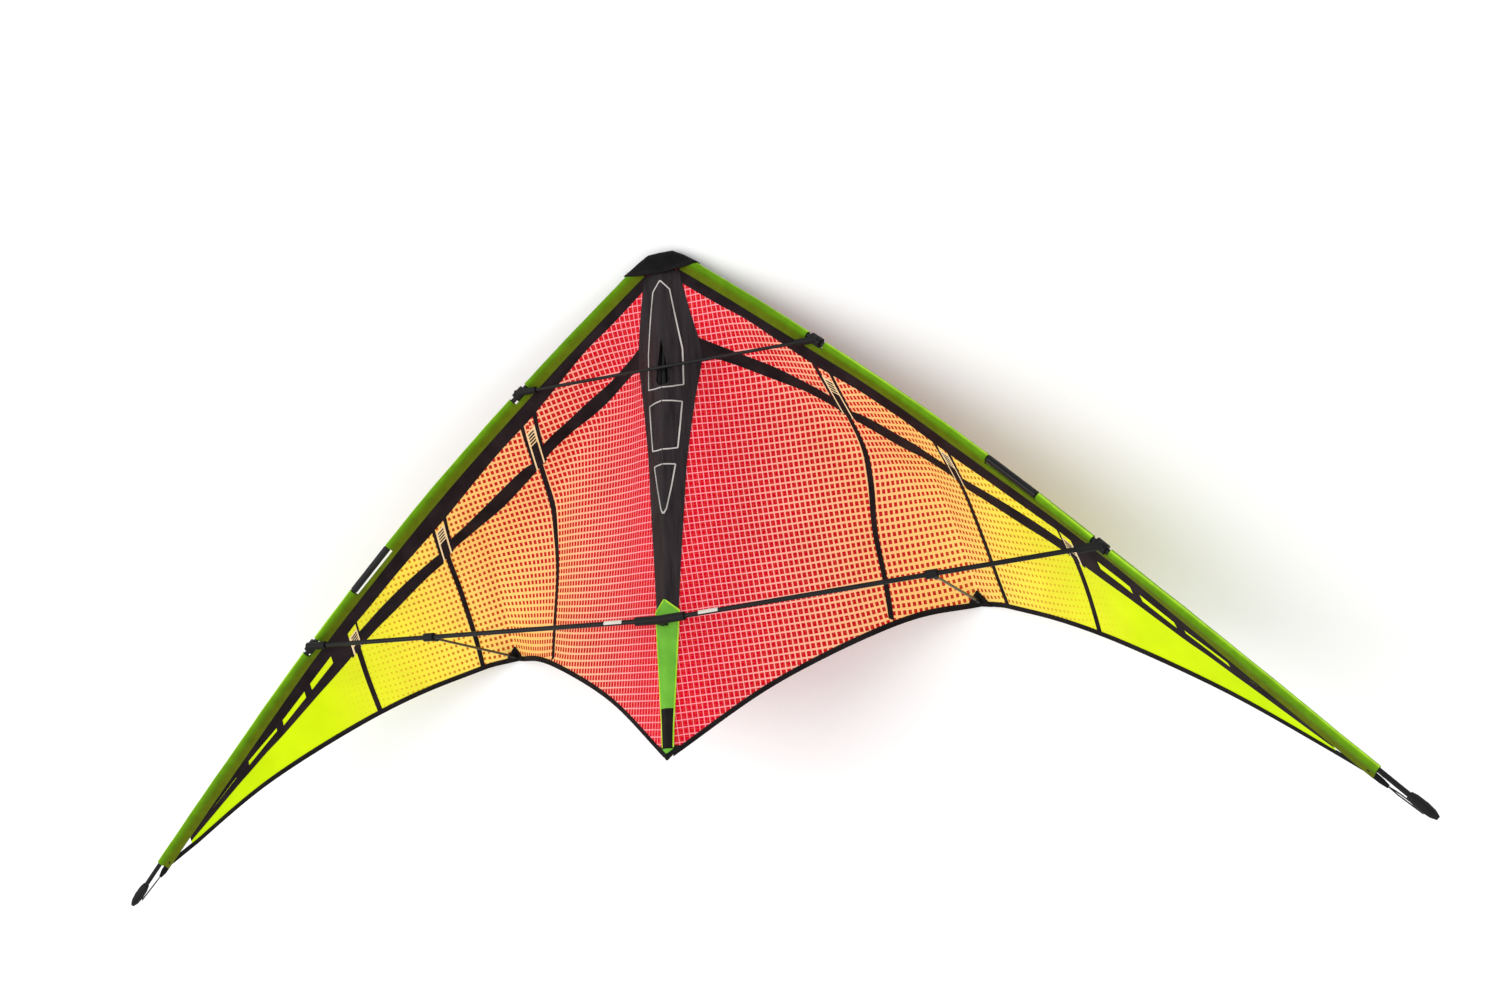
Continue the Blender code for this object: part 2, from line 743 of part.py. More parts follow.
def spine_panel():
    """The dark centre panel, with the teardrop opening where the upper spreader crosses."""
    panel = centre_sheet("spine_panel", SPINE_PANEL_ROWS, SAIL_THICKNESS, BLACK_CLOTH)
    outline = []
    for step in range(TEARDROP_ROUND_STEPS + 1):
        angle = math.pi + math.pi * step / TEARDROP_ROUND_STEPS
        across = TEARDROP_RADIUS * math.cos(angle)
        outline.append((across, TEARDROP_ROUND_Y + TEARDROP_RADIUS * math.sin(angle)))
    outline.append((0.0, TEARDROP_APEX_Y))
    sections = [[Vector((x, y, z)) for x, y in outline] for z in TEARDROP_CUT_Z]
    opening = sweep("teardrop_cut", sections, BLACK_CLOTH)
    combine(panel, opening, "DIFFERENCE")


def tail_panels():
    """The green tail panel, the black pocket under it and the patch at the tail's tip."""
    centre_sheet("tail_panel", TAIL_PANEL_ROWS, SAIL_THICKNESS, TAIL_GREEN)
    centre_sheet("tail_pocket", TAIL_POCKET_ROWS, BINDING_THICKNESS, BLACK_CLOTH)
    centre_sheet("tail_patch", TAIL_PATCH_ROWS, BINDING_THICKNESS, BLACK_CLOTH)


def spine_sleeve(name, drops, panel_thickness):
    """The cloth channel that holds the spine against the back of the centre panels."""
    first_drop, last_drop = drops
    sections = []
    inner = ROD_RADIUS + SEAT_GAP
    outer = inner + SPINE_SLEEVE_WALL
    for i in range(SPINE_SLEEVE_STEPS + 1):
        drop = first_drop + (last_drop - first_drop) * i / SPINE_SLEEVE_STEPS
        edge = sail_point(station_at(outer, drop), drop)
        top = max(edge.z - panel_thickness / 2 - 3 * SEAT_GAP, SPINE_Z + SPINE_SLEEVE_LOWEST_TOP)
        arc = [math.pi + math.pi * k / 6 for k in range(7)]
        low_outer = [(outer * math.cos(a), SPINE_Z + outer * math.sin(a)) for a in arc]
        low_inner = [(inner * math.cos(a), SPINE_Z + inner * math.sin(a)) for a in reversed(arc)]
        loop = [(-outer, top), *low_outer, (outer, top), (inner, top), *low_inner, (-inner, top)]
        sections.append([Vector((x, edge.y, z)) for x, z in loop])
    sweep(name, sections, BLACK_CLOTH)


def centre_drop(share, top, bottom):
    """Rows that match those of the centre panels."""
    return min(max(share, top), bottom)


def even_drop(share, top, bottom):
    """Rows spread evenly from the hem to the binding."""
    return top + (bottom - top) * share


def sail_grid(first, last, columns, rows, row_drop, side):
    """A panel's grid, from its seam at first to its seam at last, inside hem and binding."""
    grid = []
    for i in range(rows + 1):
        line = []
        for j in range(columns + 1):
            share = i / rows
            station = panel_station(first, last, j / columns, share)
            length = rib_length(station)
            top = HEM_GAP / length
            bottom = 1 - (BINDING_WIDTH + SEAT_GAP) / length
            drop = row_drop(share, top, bottom)
            line.append(mirrored(sail_point(station, drop), side))
        grid.append(line)
    return grid


def inner_edge(drop):
    """The station where the sail starts beside the centre panels."""
    return centre_station(drop) + CENTRE_GAP_STATION


def panel_plan():
    """Each panel of a wing: its name, first and last station, columns, rows, spacing and material."""
    seams = [SEAM_GAP / 2 / (b - a) for a, b in zip(HEAD_X, HEAD_X[1:])]
    return (
        ("sail_inner", inner_edge, 1 - seams[0], 14, CENTRE_ROWS, centre_drop, SAIL_RED),
        ("sail_middle", 1 + seams[1], 2 - seams[1], 12, 16, even_drop, SAIL_ORANGE),
        ("sail_outer", 2 + seams[2], 3 - seams[2], 8, 12, even_drop, SAIL_YELLOW),
        ("sail_tip", 3 + seams[3], LAST_STATION, 12, 8, even_drop, SAIL_LIME),
    )


def panel_station(first, last, fraction, share):
    """The station this fraction of the way across a panel, at this share of its height."""
    start = first(share) if callable(first) else first
    return start + (last - start) * fraction


def sail_panels(side, hand):
    """Four panels from the centre to the wing tip, with a seam's gap between them."""
    for name, first, last, columns, rows, row_drop, material in panel_plan():
        grid = sail_grid(first, last, columns, rows, row_drop, side)
        sheet(f"{name}_{hand}", grid, SAIL_THICKNESS, material)


def trailing_binding(side, hand):
    """The tape that binds the sail's trailing edge, bent where the panels' columns are."""
    stations = [BINDING_FIRST_STATION]
    for _, first, last, columns, *_ in panel_plan():
        stations += [panel_station(first, last, j / columns, 1.0) for j in range(columns + 1)]
    grid = []
    for station in stations:
        width = BINDING_WIDTH / rib_length(station)
        drops = (1 - width, 1 - width / 2, 1.0)
        grid.append([mirrored(sail_point(station, drop), side) for drop in drops])
    sheet(f"trailing_edge_binding_{hand}", grid, BINDING_THICKNESS, BLACK_CLOTH)


def nose_cap():
    """The folded cap over the nose, open below where the sleeves and the spine come out."""
    right = list(NOSE_OUTLINE)
    outline = right + [(-x, y) for x, y in reversed(right[1:-1])]
    sections = [[Vector((x, y, z)) for x, y in outline] for z in (NOSE_BACK_Z, NOSE_FRONT_Z)]
    cap = sweep("nose_cap", sections, BLACK_CLOTH)
    inner = [(x, y - NOSE_HOLLOW_DROP) for x, y in right[:4]] + list(NOSE_MOUTH)
    hollow = inner + [(-x, y) for x, y in reversed(inner[1:-1])]
    depths = (NOSE_BACK_Z + NOSE_WALL, NOSE_FRONT_Z - NOSE_WALL)
    sections = [[Vector((x, y, z)) for x, y in hollow] for z in depths]
    combine(cap, sweep("nose_hollow", sections, BLACK_CLOTH), "DIFFERENCE")


# Standoffs: each swings about the lower spreader, as one body


def standoff_foot():
    """The centre of the cap's round end, above the corner patch."""
    drop = 1 - FOOT_FROM_EDGE / rib_length(STANDOFF_STATION)
    surface = sail_point(STANDOFF_STATION, drop)
    height = PATCH_LIFT + PATCH_THICKNESS + 3 * SEAT_GAP + CAP_RADIUS
    return surface + sail_normal(STANDOFF_STATION, drop) * height


def standoff_patch(side, hand):
    """The three-cornered patch that takes the standoff's push, on the front of the sail."""
    grid = []
    length = rib_length(STANDOFF_STATION)
    for i in range(PATCH_ROWS + 1):
        share = i / PATCH_ROWS
        drop = 1 - (PATCH_HEIGHT * (1 - share) + PATCH_EDGE_GAP) / length
        half = PATCH_HALF_STATION * (PATCH_APEX_SHARE + (1 - PATCH_APEX_SHARE) * share)
        stations = [STANDOFF_STATION + half * k / 2 for k in (-2, -1, 0, 1, 2)]
        grid.append([mirrored(sail_point(s, drop), side) for s in stations])
    lift = PATCH_LIFT + PATCH_THICKNESS / 2
    sheet(f"standoff_patch_{hand}", grid, PATCH_THICKNESS, BLACK_CLOTH, lift)


def standoff(side, hand):
    """The clip on the spreader, the thin rod, and the soft cap on its end."""
    pivot = mirrored(lower_spreader_point(STANDOFF_X), side)
    foot = mirrored(standoff_foot(), side)
    down = (foot - pivot).normalized()
    along = mirrored(lower_spreader_direction(), side)
    reach = (foot - pivot).length
    half = along * CLIP_LENGTH / 2
    clip = rod(f"standoff_clip_{hand}", [pivot - half, pivot + half], CLIP_RADIUS, MOULDED, pivot)
    socket_path = [pivot, pivot + down * CLIP_SOCKET_REACH]
    socket = rod(f"clip_socket_{hand}", socket_path, CLIP_SOCKET_RADIUS, MOULDED, pivot)
    combine(clip, socket, "UNION")
    bore_path = [pivot - half * 2, pivot + half * 2]
    bore = rod(f"clip_bore_{hand}", bore_path, ROD_RADIUS + SEAT_GAP, MOULDED, pivot)
    combine(clip, bore, "DIFFERENCE")
    seat_path = [pivot + down * CLIP_SEAT_START, pivot + down * (CLIP_SOCKET_REACH + SMALL_CUTTER_EXCESS)]
    seat = rod(f"clip_seat_{hand}", seat_path, STANDOFF_RADIUS + SEAT_GAP, MOULDED, pivot)
    combine(clip, seat, "DIFFERENCE")
    path = [pivot + down * (CLIP_SEAT_START + SEAT_GAP), pivot + down * (reach - CAP_END_WALL)]
    rod(f"standoff_rod_{hand}", path, STANDOFF_RADIUS, CARBON, pivot)
    round_end = [(CAP_RADIUS * math.sin(a), CAP_RADIUS * math.cos(a)) for a in CAP_END_ANGLES]
    profile = [(-CAP_LENGTH, CAP_RADIUS), *round_end]
    cap = lathe(f"standoff_cap_{hand}", foot, down, profile, MOULDED, pivot)
    hollow_start = foot - down * (CAP_LENGTH + SMALL_CUTTER_EXCESS)
    hollow_path = [hollow_start, foot - down * (CAP_END_WALL - SEAT_GAP)]
    hollow = rod(f"cap_bore_{hand}", hollow_path, STANDOFF_RADIUS + SEAT_GAP, MOULDED, pivot)
    combine(cap, hollow, "DIFFERENCE")


# Assembly


def lower_to_ground():
    """Tilts the kite nose down until nose and standoff corners touch, over the origin."""
    nose = Vector((0, NOSE_OUTLINE[0][1], NOSE_BACK_Z))
    corner = FRONT_TRAILING_EDGE[-1] - sail_normal(STANDOFF_STATION, NEAR_FOOT) * BINDING_THICKNESS / 2
    tilt = math.atan2(nose.z - corner.z, nose.y - corner.y)
    FRAME.rotation_euler = (-tilt, 0, 0)
    bpy.context.view_layer.update()
    graph = bpy.context.evaluated_depsgraph_get()
    corners = []
    for thing in bpy.context.scene.objects:
        if thing.type == "MESH" and not thing.hide_render:
            solid = thing.evaluated_get(graph)
            corners += [solid.matrix_world @ v.co for v in solid.data.vertices]
    low = [min(c[k] for c in corners) for k in range(3)]
    high = [max(c[k] for c in corners) for k in range(3)]
    FRAME.location = (-(low[0] + high[0]) / 2, -(low[1] + high[1]) / 2, -low[2])


spine()
upper_spreader()
centre_tee()
nose_cap()
spine_panel()
tail_panels()
spine_sleeve("spine_sleeve_upper", UPPER_SLEEVE_DROPS, SAIL_THICKNESS)
spine_sleeve("spine_sleeve_lower", LOWER_SLEEVE_DROPS, BINDING_THICKNESS)
for hand, side in SIDES:
    leading_edge_rods(side, hand)
    ferrule(side, hand)
    lower_spreader(side, hand)
    edge_fittings(side, hand)
    wing_tip(side, hand)
    edge_sleeve(side, hand)
    sail_panels(side, hand)
    trailing_binding(side, hand)
    standoff_patch(side, hand)
    standoff(side, hand)
lower_to_ground()
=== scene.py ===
"""A dual-line stunt kite at rest on its back, dressed in printed ripstop, tape and moulded parts."""

import math

import bmesh
import bpy
from mathutils import Matrix, Vector


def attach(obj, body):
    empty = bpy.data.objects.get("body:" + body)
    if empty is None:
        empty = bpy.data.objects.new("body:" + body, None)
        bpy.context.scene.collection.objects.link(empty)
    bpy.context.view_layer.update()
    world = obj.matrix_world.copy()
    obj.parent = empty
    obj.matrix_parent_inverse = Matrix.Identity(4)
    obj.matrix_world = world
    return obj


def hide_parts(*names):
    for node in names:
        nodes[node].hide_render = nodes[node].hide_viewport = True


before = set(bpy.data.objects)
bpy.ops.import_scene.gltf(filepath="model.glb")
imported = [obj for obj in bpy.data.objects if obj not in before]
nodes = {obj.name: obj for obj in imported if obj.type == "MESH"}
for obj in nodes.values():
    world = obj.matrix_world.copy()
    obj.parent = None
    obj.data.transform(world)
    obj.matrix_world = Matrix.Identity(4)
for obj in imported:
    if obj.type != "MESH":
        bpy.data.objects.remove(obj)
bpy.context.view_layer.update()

# The kite's own frame
# X runs across the wings, Y from tail to nose and Z out of the front, towards the flyer.
# A small tilt lays the kite down on its nose cap and its two standoff corners.

TILT = math.radians(22.518)
REST_PLACE = Vector((0, 0.318341, 0.01541))
LAY_DOWN = Matrix.Translation(REST_PLACE) @ Matrix.Rotation(-TILT, 4, "X")
SIDES = (("left", -1), ("right", 1))


def mirrored(point, side):
    """The point itself on the right wing, and its mirror image on the left."""
    return Vector((point.x * side, point.y, point.z))


# Camera
# It stands to the right of the kite, about 2.4 m off, and looks at its front. The kite fills
# most of the frame's width, with its nose up.

CAMERA_PLACE = Vector((1.04793, -0.86911, 1.96583))
CAMERA_RIGHT = Vector((0.89887, -0.02429, -0.43754))
CAMERA_BACK = Vector((0.41767, -0.25465, 0.87218))
CAMERA_LENS_MM = 50
CAMERA_SENSOR_MM = 36

camera_data = bpy.data.cameras.new("camera")
camera_data.lens = CAMERA_LENS_MM
camera_data.sensor_width = CAMERA_SENSOR_MM
camera = bpy.data.objects.new("camera", camera_data)
bpy.context.collection.objects.link(camera)
camera_up = CAMERA_BACK.cross(CAMERA_RIGHT)
turn = Matrix((CAMERA_RIGHT, camera_up, CAMERA_BACK)).transposed().to_4x4()
camera.matrix_world = LAY_DOWN @ Matrix.Translation(CAMERA_PLACE) @ turn
bpy.context.scene.camera = camera

# Studio
# A plain pale floor, a bright even surround and two broad soft lamps, one high on each side.

FLOOR_HALF = 6.0
FLOOR_COLOUR = (0.93, 0.93, 0.93, 1)
SURROUND_COLOUR = (1.0, 1.0, 1.0, 1)
SURROUND_STRENGTH = 0.86
LAMPS = (
    ("key_lamp", (-1.6, 0.8, 2.6), 2.2, 38),
    ("fill_lamp", (1.8, -1.4, 2.2), 2.0, 20),
)


def deselect_all():
    """Leaves nothing selected."""
    for thing in bpy.context.selected_objects:
        thing.select_set(False)


def add(tree, kind, values=None, **settings):
    """Adds a node, sets its options and sockets, and links the sockets that are given an output."""
    node = tree.nodes.new(kind)
    for name, value in settings.items():
        setattr(node, name, value)
    for name, value in (values or {}).items():
        if isinstance(value, bpy.types.NodeSocket):
            tree.links.new(value, node.inputs[name])
        else:
            node.inputs[name].default_value = value
    return node


def calc(tree, operation, first, second=0.0):
    """The output of a Math node."""
    return add(tree, "ShaderNodeMath", {0: first, 1: second}, operation=operation).outputs[0]


def opaque(colour):
    """A colour with full alpha; a number stands for a grey."""
    if isinstance(colour, float):
        colour = (colour, colour, colour)
    return (*colour, 1)


def ramp(tree, value, stops):
    """A colour ramp with these stops, each a place from 0 to 1 and a colour or a grey."""
    stops = [(place, opaque(colour)) for place, colour in stops]
    node = add(tree, "ShaderNodeValToRGB", {"Fac": value})
    elements = node.color_ramp.elements
    elements[0].position, elements[0].color = stops[0]
    elements[1].position, elements[1].color = stops[-1]
    for place, colour in stops[1:-1]:
        elements.new(place).color = colour
    return node.outputs["Color"]


def map_range(tree, value, start, end, low, high):
    """A change from low at start to high at end."""
    values = {"Value": value, "From Min": start, "From Max": end, "To Min": low, "To Max": high}
    return add(tree, "ShaderNodeMapRange", values).outputs["Result"]


def mix_colour(tree, share, first, second, blend="MIX"):
    """The colour between two, by this share of the second."""
    node = add(tree, "ShaderNodeMix", data_type="RGBA", blend_type=blend)
    for place, value in ((0, share), (6, first), (7, second)):
        if isinstance(value, bpy.types.NodeSocket):
            tree.links.new(value, node.inputs[place])
        else:
            node.inputs[place].default_value = value
    return node.outputs[2]


def new_material(name):
    """A Principled material: its tree and its shader."""
    material = bpy.data.materials.new(name)
    material.use_nodes = True
    return material, material.node_tree, material.node_tree.nodes["Principled BSDF"]


deselect_all()
bpy.ops.mesh.primitive_plane_add(size=2 * FLOOR_HALF, location=(0, 0, 0))
floor = bpy.context.active_object
floor.name = "floor"
floor_material, tree, shader = new_material("floor_paper")
shader.inputs["Base Color"].default_value = FLOOR_COLOUR
shader.inputs["Roughness"].default_value = 0.9
floor.data.materials.append(floor_material)

for name, place, size, power in LAMPS:
    lamp = bpy.data.lights.new(name, "AREA")
    lamp.size = size
    lamp.energy = power
    lamp_object = bpy.data.objects.new(name, lamp)
    bpy.context.collection.objects.link(lamp_object)
    lamp_object.location = place
    aim = Vector(place).to_track_quat("Z", "Y")
    lamp_object.rotation_euler = aim.to_euler()

surround = bpy.data.worlds.new("surround")
surround.use_nodes = True
backdrop = surround.node_tree.nodes["Background"]
backdrop.inputs["Color"].default_value = SURROUND_COLOUR
backdrop.inputs["Strength"].default_value = SURROUND_STRENGTH
bpy.context.scene.world = surround
bpy.context.scene.view_settings.view_transform = "Standard"

# Carbon rods
# Pultruded carbon: the spine, both spreaders, the leading edge rods and the thin standoffs.
# They are satin black, with a fine grain and a few rubbed spots.

CARBON_COLOURS = ((0.004, 0.004, 0.0045), (0.014, 0.0135, 0.013))
STANDOFF_COLOURS = ((0.045, 0.036, 0.014), (0.10, 0.08, 0.03))
RUBBED_SCALE = 35.0
RUBBED_SHARE = 0.6
HARD_SPECULAR = 0.16
HARD_BUMP = 0.35


def object_noise(tree, scale, detail=3.0, stretch=(1, 1, 1)):
    """Noise on the object's own coordinates."""
    place = add(tree, "ShaderNodeTexCoord").outputs["Object"]
    scaled = add(tree, "ShaderNodeMapping", {"Vector": place, "Scale": stretch}).outputs["Vector"]
    noise = add(tree, "ShaderNodeTexNoise", {"Vector": scaled, "Scale": scale, "Detail": detail})
    return noise.outputs["Fac"]


def set_bump(tree, shader, height, strength, distance):
    """A bump from this height on the shader's normal."""
    values = {"Height": height, "Strength": strength, "Distance": distance}
    bump = add(tree, "ShaderNodeBump", values)
    tree.links.new(bump.outputs["Normal"], shader.inputs["Normal"])


def set_coat(tree, shader, colour, roughness, specular):
    """The shader's colour and gloss: the colour is linked, the other two may be numbers."""
    tree.links.new(colour, shader.inputs["Base Color"])
    if isinstance(roughness, float):
        shader.inputs["Roughness"].default_value = roughness
    else:
        tree.links.new(roughness, shader.inputs["Roughness"])
    shader.inputs["Specular IOR Level"].default_value = specular


def worn_material(name, colours, roughness, grain, bump_depth):
    """A hard material whose colour and gloss vary between a dark and a light state."""
    material, tree, shader = new_material(name)
    dark, light = colours
    low, high = roughness
    patches = object_noise(tree, RUBBED_SCALE)
    fine = object_noise(tree, grain, 4.0)
    rubbed = calc(tree, "MULTIPLY", patches, RUBBED_SHARE)
    both = calc(tree, "ADD", rubbed, calc(tree, "MULTIPLY", fine, 1 - RUBBED_SHARE))
    colour = ramp(tree, both, ((0.35, dark), (0.75, light)))
    set_coat(tree, shader, colour, map_range(tree, both, 0.3, 0.7, low, high), HARD_SPECULAR)
    set_bump(tree, shader, fine, HARD_BUMP, bump_depth)
    return material


def dress(node_names, material):
    """Gives CAD nodes that keep their shape a new material."""
    for node_name in node_names:
        mesh = nodes[node_name].data
        mesh.materials.clear()
        mesh.materials.append(material)


def each_side(*names):
    """The left and the right piece of each name."""
    return [f"{name}_{hand}" for hand, _ in SIDES for name in names]


carbon = worn_material("carbon_rod", CARBON_COLOURS, (0.25, 0.45), 900.0, 0.00012)
dress(["spine", "upper_spreader"], carbon)
dress(each_side("leading_edge_upper_rod", "leading_edge_lower_rod", "lower_spreader"), carbon)
thin_rod = worn_material("standoff_rod", STANDOFF_COLOURS, (0.25, 0.4), 900.0, 0.0001)
dress(each_side("standoff_rod"), thin_rod)

# Moulded fittings
# Black nylon and vinyl: the centre tee, the connectors on the leading edge, the standoff
# clips and caps, the nocks and the ferrules, with a fine moulded grain.

NYLON_COLOURS = ((0.004, 0.004, 0.004), (0.014, 0.0135, 0.013))
FERRULE_COLOURS = ((0.005, 0.005, 0.0055), (0.016, 0.0155, 0.015))

moulded = worn_material("moulded_nylon", NYLON_COLOURS, (0.45, 0.65), 1400.0, 0.0001)
dress(["centre_tee"], moulded)
dress(each_side("upper_connector", "lower_connector", "tip_nock", "standoff_clip", "standoff_cap"), moulded)
ferrule_black = worn_material("ferrule_sleeve", FERRULE_COLOURS, (0.3, 0.5), 700.0, 0.0001)
dress(each_side("leading_edge_ferrule"), ferrule_black)

# Sail surface
# The sail is cut in four panels a wing, whose ribs run from the leading edge to the trailing
# edge. Station counts the seams from the spine (0) to the wing tip (4), and drop runs down a
# rib from its head (0) to its foot (1).

LEADING_EDGE = (
    Vector((0.015, 0.0095, -0.0040)),
    Vector((0.100, -0.0552, -0.0043)),
    Vector((0.200, -0.1347, -0.0045)),
    Vector((0.300, -0.2178, -0.0072)),
    Vector((0.400, -0.3082, -0.0112)),
    Vector((0.500, -0.4040, -0.0172)),
    Vector((0.600, -0.5020, -0.0290)),
    Vector((0.700, -0.6020, -0.0412)),
    Vector((0.775, -0.6770, -0.0525)),
)
LEADING_STATIONS = [point.x for point in LEADING_EDGE]
SLEEVE_WIDTH = 0.0123
SLEEVE_TURNS = (
    (0.0, 8), (0.14, 14), (0.19, 27), (0.23, 40), (0.28, 40), (0.34, 34), (0.39, 42), (0.44, 55), (0.50, 61),
    (0.56, 51), (0.62, 43), (0.80, 42),
)
CREST_TOP = Vector((0.0, -0.005, -0.001))
SHOULDER_X = 0.027
HEAD_X = ((0, 0.0), (1, 0.183), (2, 0.3185), (3, 0.4410), (4, 0.713))
STANDOFF_STATION = 1 + 2 / 3
FRONT_STATIONS = (0.0, 0.5, 1.0, STANDOFF_STATION)
FRONT_TRAILING_EDGE = (
    Vector((0.0, -0.569, -0.001)),
    Vector((0.105, -0.4865, -0.062)),
    Vector((0.222, -0.4240, -0.127)),
    Vector((0.3005, -0.4020, -0.1825)),
)
REAR_STATIONS = (STANDOFF_STATION, 2.0, 3.0, 3.5, 4.0)
REAR_TRAILING_EDGE = (
    Vector((0.3005, -0.4020, -0.1825)),
    Vector((0.3385, -0.4125, -0.1630)),
    Vector((0.4545, -0.4640, -0.1120)),
    Vector((0.586, -0.5405, -0.0720)),
    Vector((0.709, -0.6255, -0.0580)),
)
SAG_STATIONS = (0.0, 0.11, 0.22, 0.33, 0.55, 0.8, 1.0, 2.0, 3.0, 4.0)
SAG_SHAPES = (
    Vector((0.0, 0.20)),
    Vector((0.0025, 0.20)),
    Vector((0.0115, 0.20)),
    Vector((0.024, 0.20)),
    Vector((0.040, 0.20)),
    Vector((0.048, 0.26)),
    Vector((0.050, 0.37)),
    Vector((0.006, 0.42)),
    Vector((0.003, 0.42)),
    Vector((0.0, 0.42)),
)
SAG_EASE = 1.3
SEAM_BOW = 0.025
SMALL_STEP = 0.0005


def spline(stations, points, station):
    """A smooth curve through the points, each at its station."""
    last = len(points) - 1
    i = 0
    while i < last - 1 and station > stations[i + 1]:
        i += 1

    def tangent(k):
        a, b = max(k - 1, 0), min(k + 1, last)
        return (points[b] - points[a]) / (stations[b] - stations[a])

    span = stations[i + 1] - stations[i]
    t = (station - stations[i]) / span
    ease = t * t * (3 - 2 * t)
    start = tangent(i) * span * t * (1 - t) ** 2
    end = tangent(i + 1) * span * t * t * (1 - t)
    return points[i].lerp(points[i + 1], ease) + start - end


def interpolate(pairs, value):
    """The height at this value of the broken line through the pairs."""
    for (x0, y0), (x1, y1) in zip(pairs, pairs[1:]):
        if value <= x1:
            return y0 + (y1 - y0) * (value - x0) / (x1 - x0)
    return pairs[-1][1]


def leading_edge(x):
    """The leading edge rod's axis at this distance out, on the right wing."""
    return spline(LEADING_STATIONS, LEADING_EDGE, x)


def leading_direction(x):
    return (leading_edge(x + SMALL_STEP) - leading_edge(x - SMALL_STEP)).normalized()


def sleeve_inward(x):
    """The vector from the rod's axis to the sleeve's hem, which turns back with the sail."""
    along = leading_direction(x)
    level = Vector((along.y, -along.x, 0)).normalized()
    turn_back = math.radians(interpolate(SLEEVE_TURNS, x))
    drop = Vector((0, 0, SLEEVE_WIDTH * math.sin(turn_back)))
    return level * (SLEEVE_WIDTH * math.cos(turn_back)) - drop


rib_ends = {}


def rib_end(station):
    """Both ends of the rib at this station: on the sleeve's hem and on the trailing edge."""
    if station not in rib_ends:
        x = interpolate(HEAD_X, station)
        if x < SHOULDER_X:
            shoulder = leading_edge(SHOULDER_X) + sleeve_inward(SHOULDER_X)
            head = CREST_TOP.lerp(shoulder, x / SHOULDER_X)
        else:
            head = leading_edge(x) + sleeve_inward(x)
        if station <= STANDOFF_STATION:
            foot = spline(FRONT_STATIONS, FRONT_TRAILING_EDGE, station)
        else:
            foot = spline(REAR_STATIONS, REAR_TRAILING_EDGE, station)
        rib_ends[station] = (head, foot, (head - foot).length)
    return rib_ends[station]


def sail_point(station, drop):
    """A point of the right wing's surface, or of the left wing's for a negative station."""
    out = abs(station)
    head, foot, length = rib_end(out)
    depth, deepest = spline(SAG_STATIONS, SAG_SHAPES, out)
    if drop < deepest:
        rise = max(drop, 0.0) / deepest
        sag = depth * rise * rise * (3 - 2 * rise)
    else:
        sag = depth * (1 - min((drop - deepest) / (1 - deepest), 1.0) ** SAG_EASE)
    bow = SEAM_BOW * min(out, 1.0) * length * math.sin(math.pi * min(max(drop, 0.0), 1.0))
    point = head.lerp(foot, drop) + Vector((bow, 0, -sag))
    return mirrored(point, -1 if station < 0 else 1)


def down_rib(station, distance):
    """The point this many metres down the rib from the sleeve's hem."""
    return sail_point(station, distance / rib_end(abs(station))[2])


def grid_normals(grid):
    """A unit normal at each point of a grid, towards the flyer."""
    normals = []
    for i, row in enumerate(grid):
        line = []
        for j in range(len(row)):
            down = grid[min(i + 1, len(grid) - 1)][j] - grid[max(i - 1, 0)][j]
            across = row[min(j + 1, len(row) - 1)] - row[max(j - 1, 0)]
            normal = down.cross(across).normalized()
            line.append(normal if normal.z > 0 else -normal)
        normals.append(line)
    return normals


def rim_of(layer):
    """The grid's outer points, once round."""
    right = [row[-1] for row in layer[1:-1]]
    left = [row[0] for row in reversed(layer[1:-1])]
    return layer[0] + right + list(reversed(layer[-1])) + left


def add_sheet(mesh, grid, thickness, lift=0.0, normals=None):
    """Adds a closed thin sheet along a grid, raised by lift, and gives its points' grid places."""
    normals = normals or grid_normals(grid)
    layers = []
    places = {}
    for offset in (lift + thickness / 2, lift - thickness / 2):
        layer = []
        for i, (row, line) in enumerate(zip(grid, normals)):
            layer.append([mesh.verts.new(LAY_DOWN @ (p + n * offset)) for p, n in zip(row, line)])
            places.update({vert: (i, j) for j, vert in enumerate(layer[-1])})
        layers.append(layer)
    for layer in layers:
        for upper, lower in zip(layer, layer[1:]):
            for j in range(len(upper) - 1):
                face = mesh.faces.new((upper[j], upper[j + 1], lower[j + 1], lower[j]))
                face.smooth = True
    rims = [rim_of(layer) for layer in layers]
    for k in range(len(rims[0])):
        after = (k + 1) % len(rims[0])
        mesh.faces.new((rims[0][k], rims[0][after], rims[1][after], rims[1][k]))
        for rim in rims:
            mesh.edges.get((rim[k], rim[after])).smooth = False
    return places


def finish_mesh(name, mesh, material, stands_for=None):
    """Makes a piece of the airframe of a finished mesh, with its faces outward."""
    bmesh.ops.recalc_face_normals(mesh, faces=mesh.faces)
    data = bpy.data.meshes.new(name)
    mesh.to_mesh(data)
    mesh.free()
    data.materials.append(material)
    piece = bpy.data.objects.new(name, data)
    bpy.context.collection.objects.link(piece)
    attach(piece, "airframe")
    if stands_for:
        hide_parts(stands_for)
    return piece


def map_cut(mesh, spots):
    """Writes each point's place on the flat cloth, in metres, to the cut map."""
    cut_map = mesh.loops.layers.uv.new("cut")
    for face in mesh.faces:
        for loop in face.loops:
            loop[cut_map].uv = spots[loop.vert]


def flat_cut(grid):
    """Each grid point's distance along its row and down its column."""
    cut = []
    for i, row in enumerate(grid):
        line = []
        for j, point in enumerate(row):
            along = line[-1][0] + (point - row[j - 1]).length if j else 0.0
            down = cut[-1][j][1] + (point - grid[i - 1][j]).length if i else 0.0
            line.append((along, down))
        cut.append(line)
    return cut


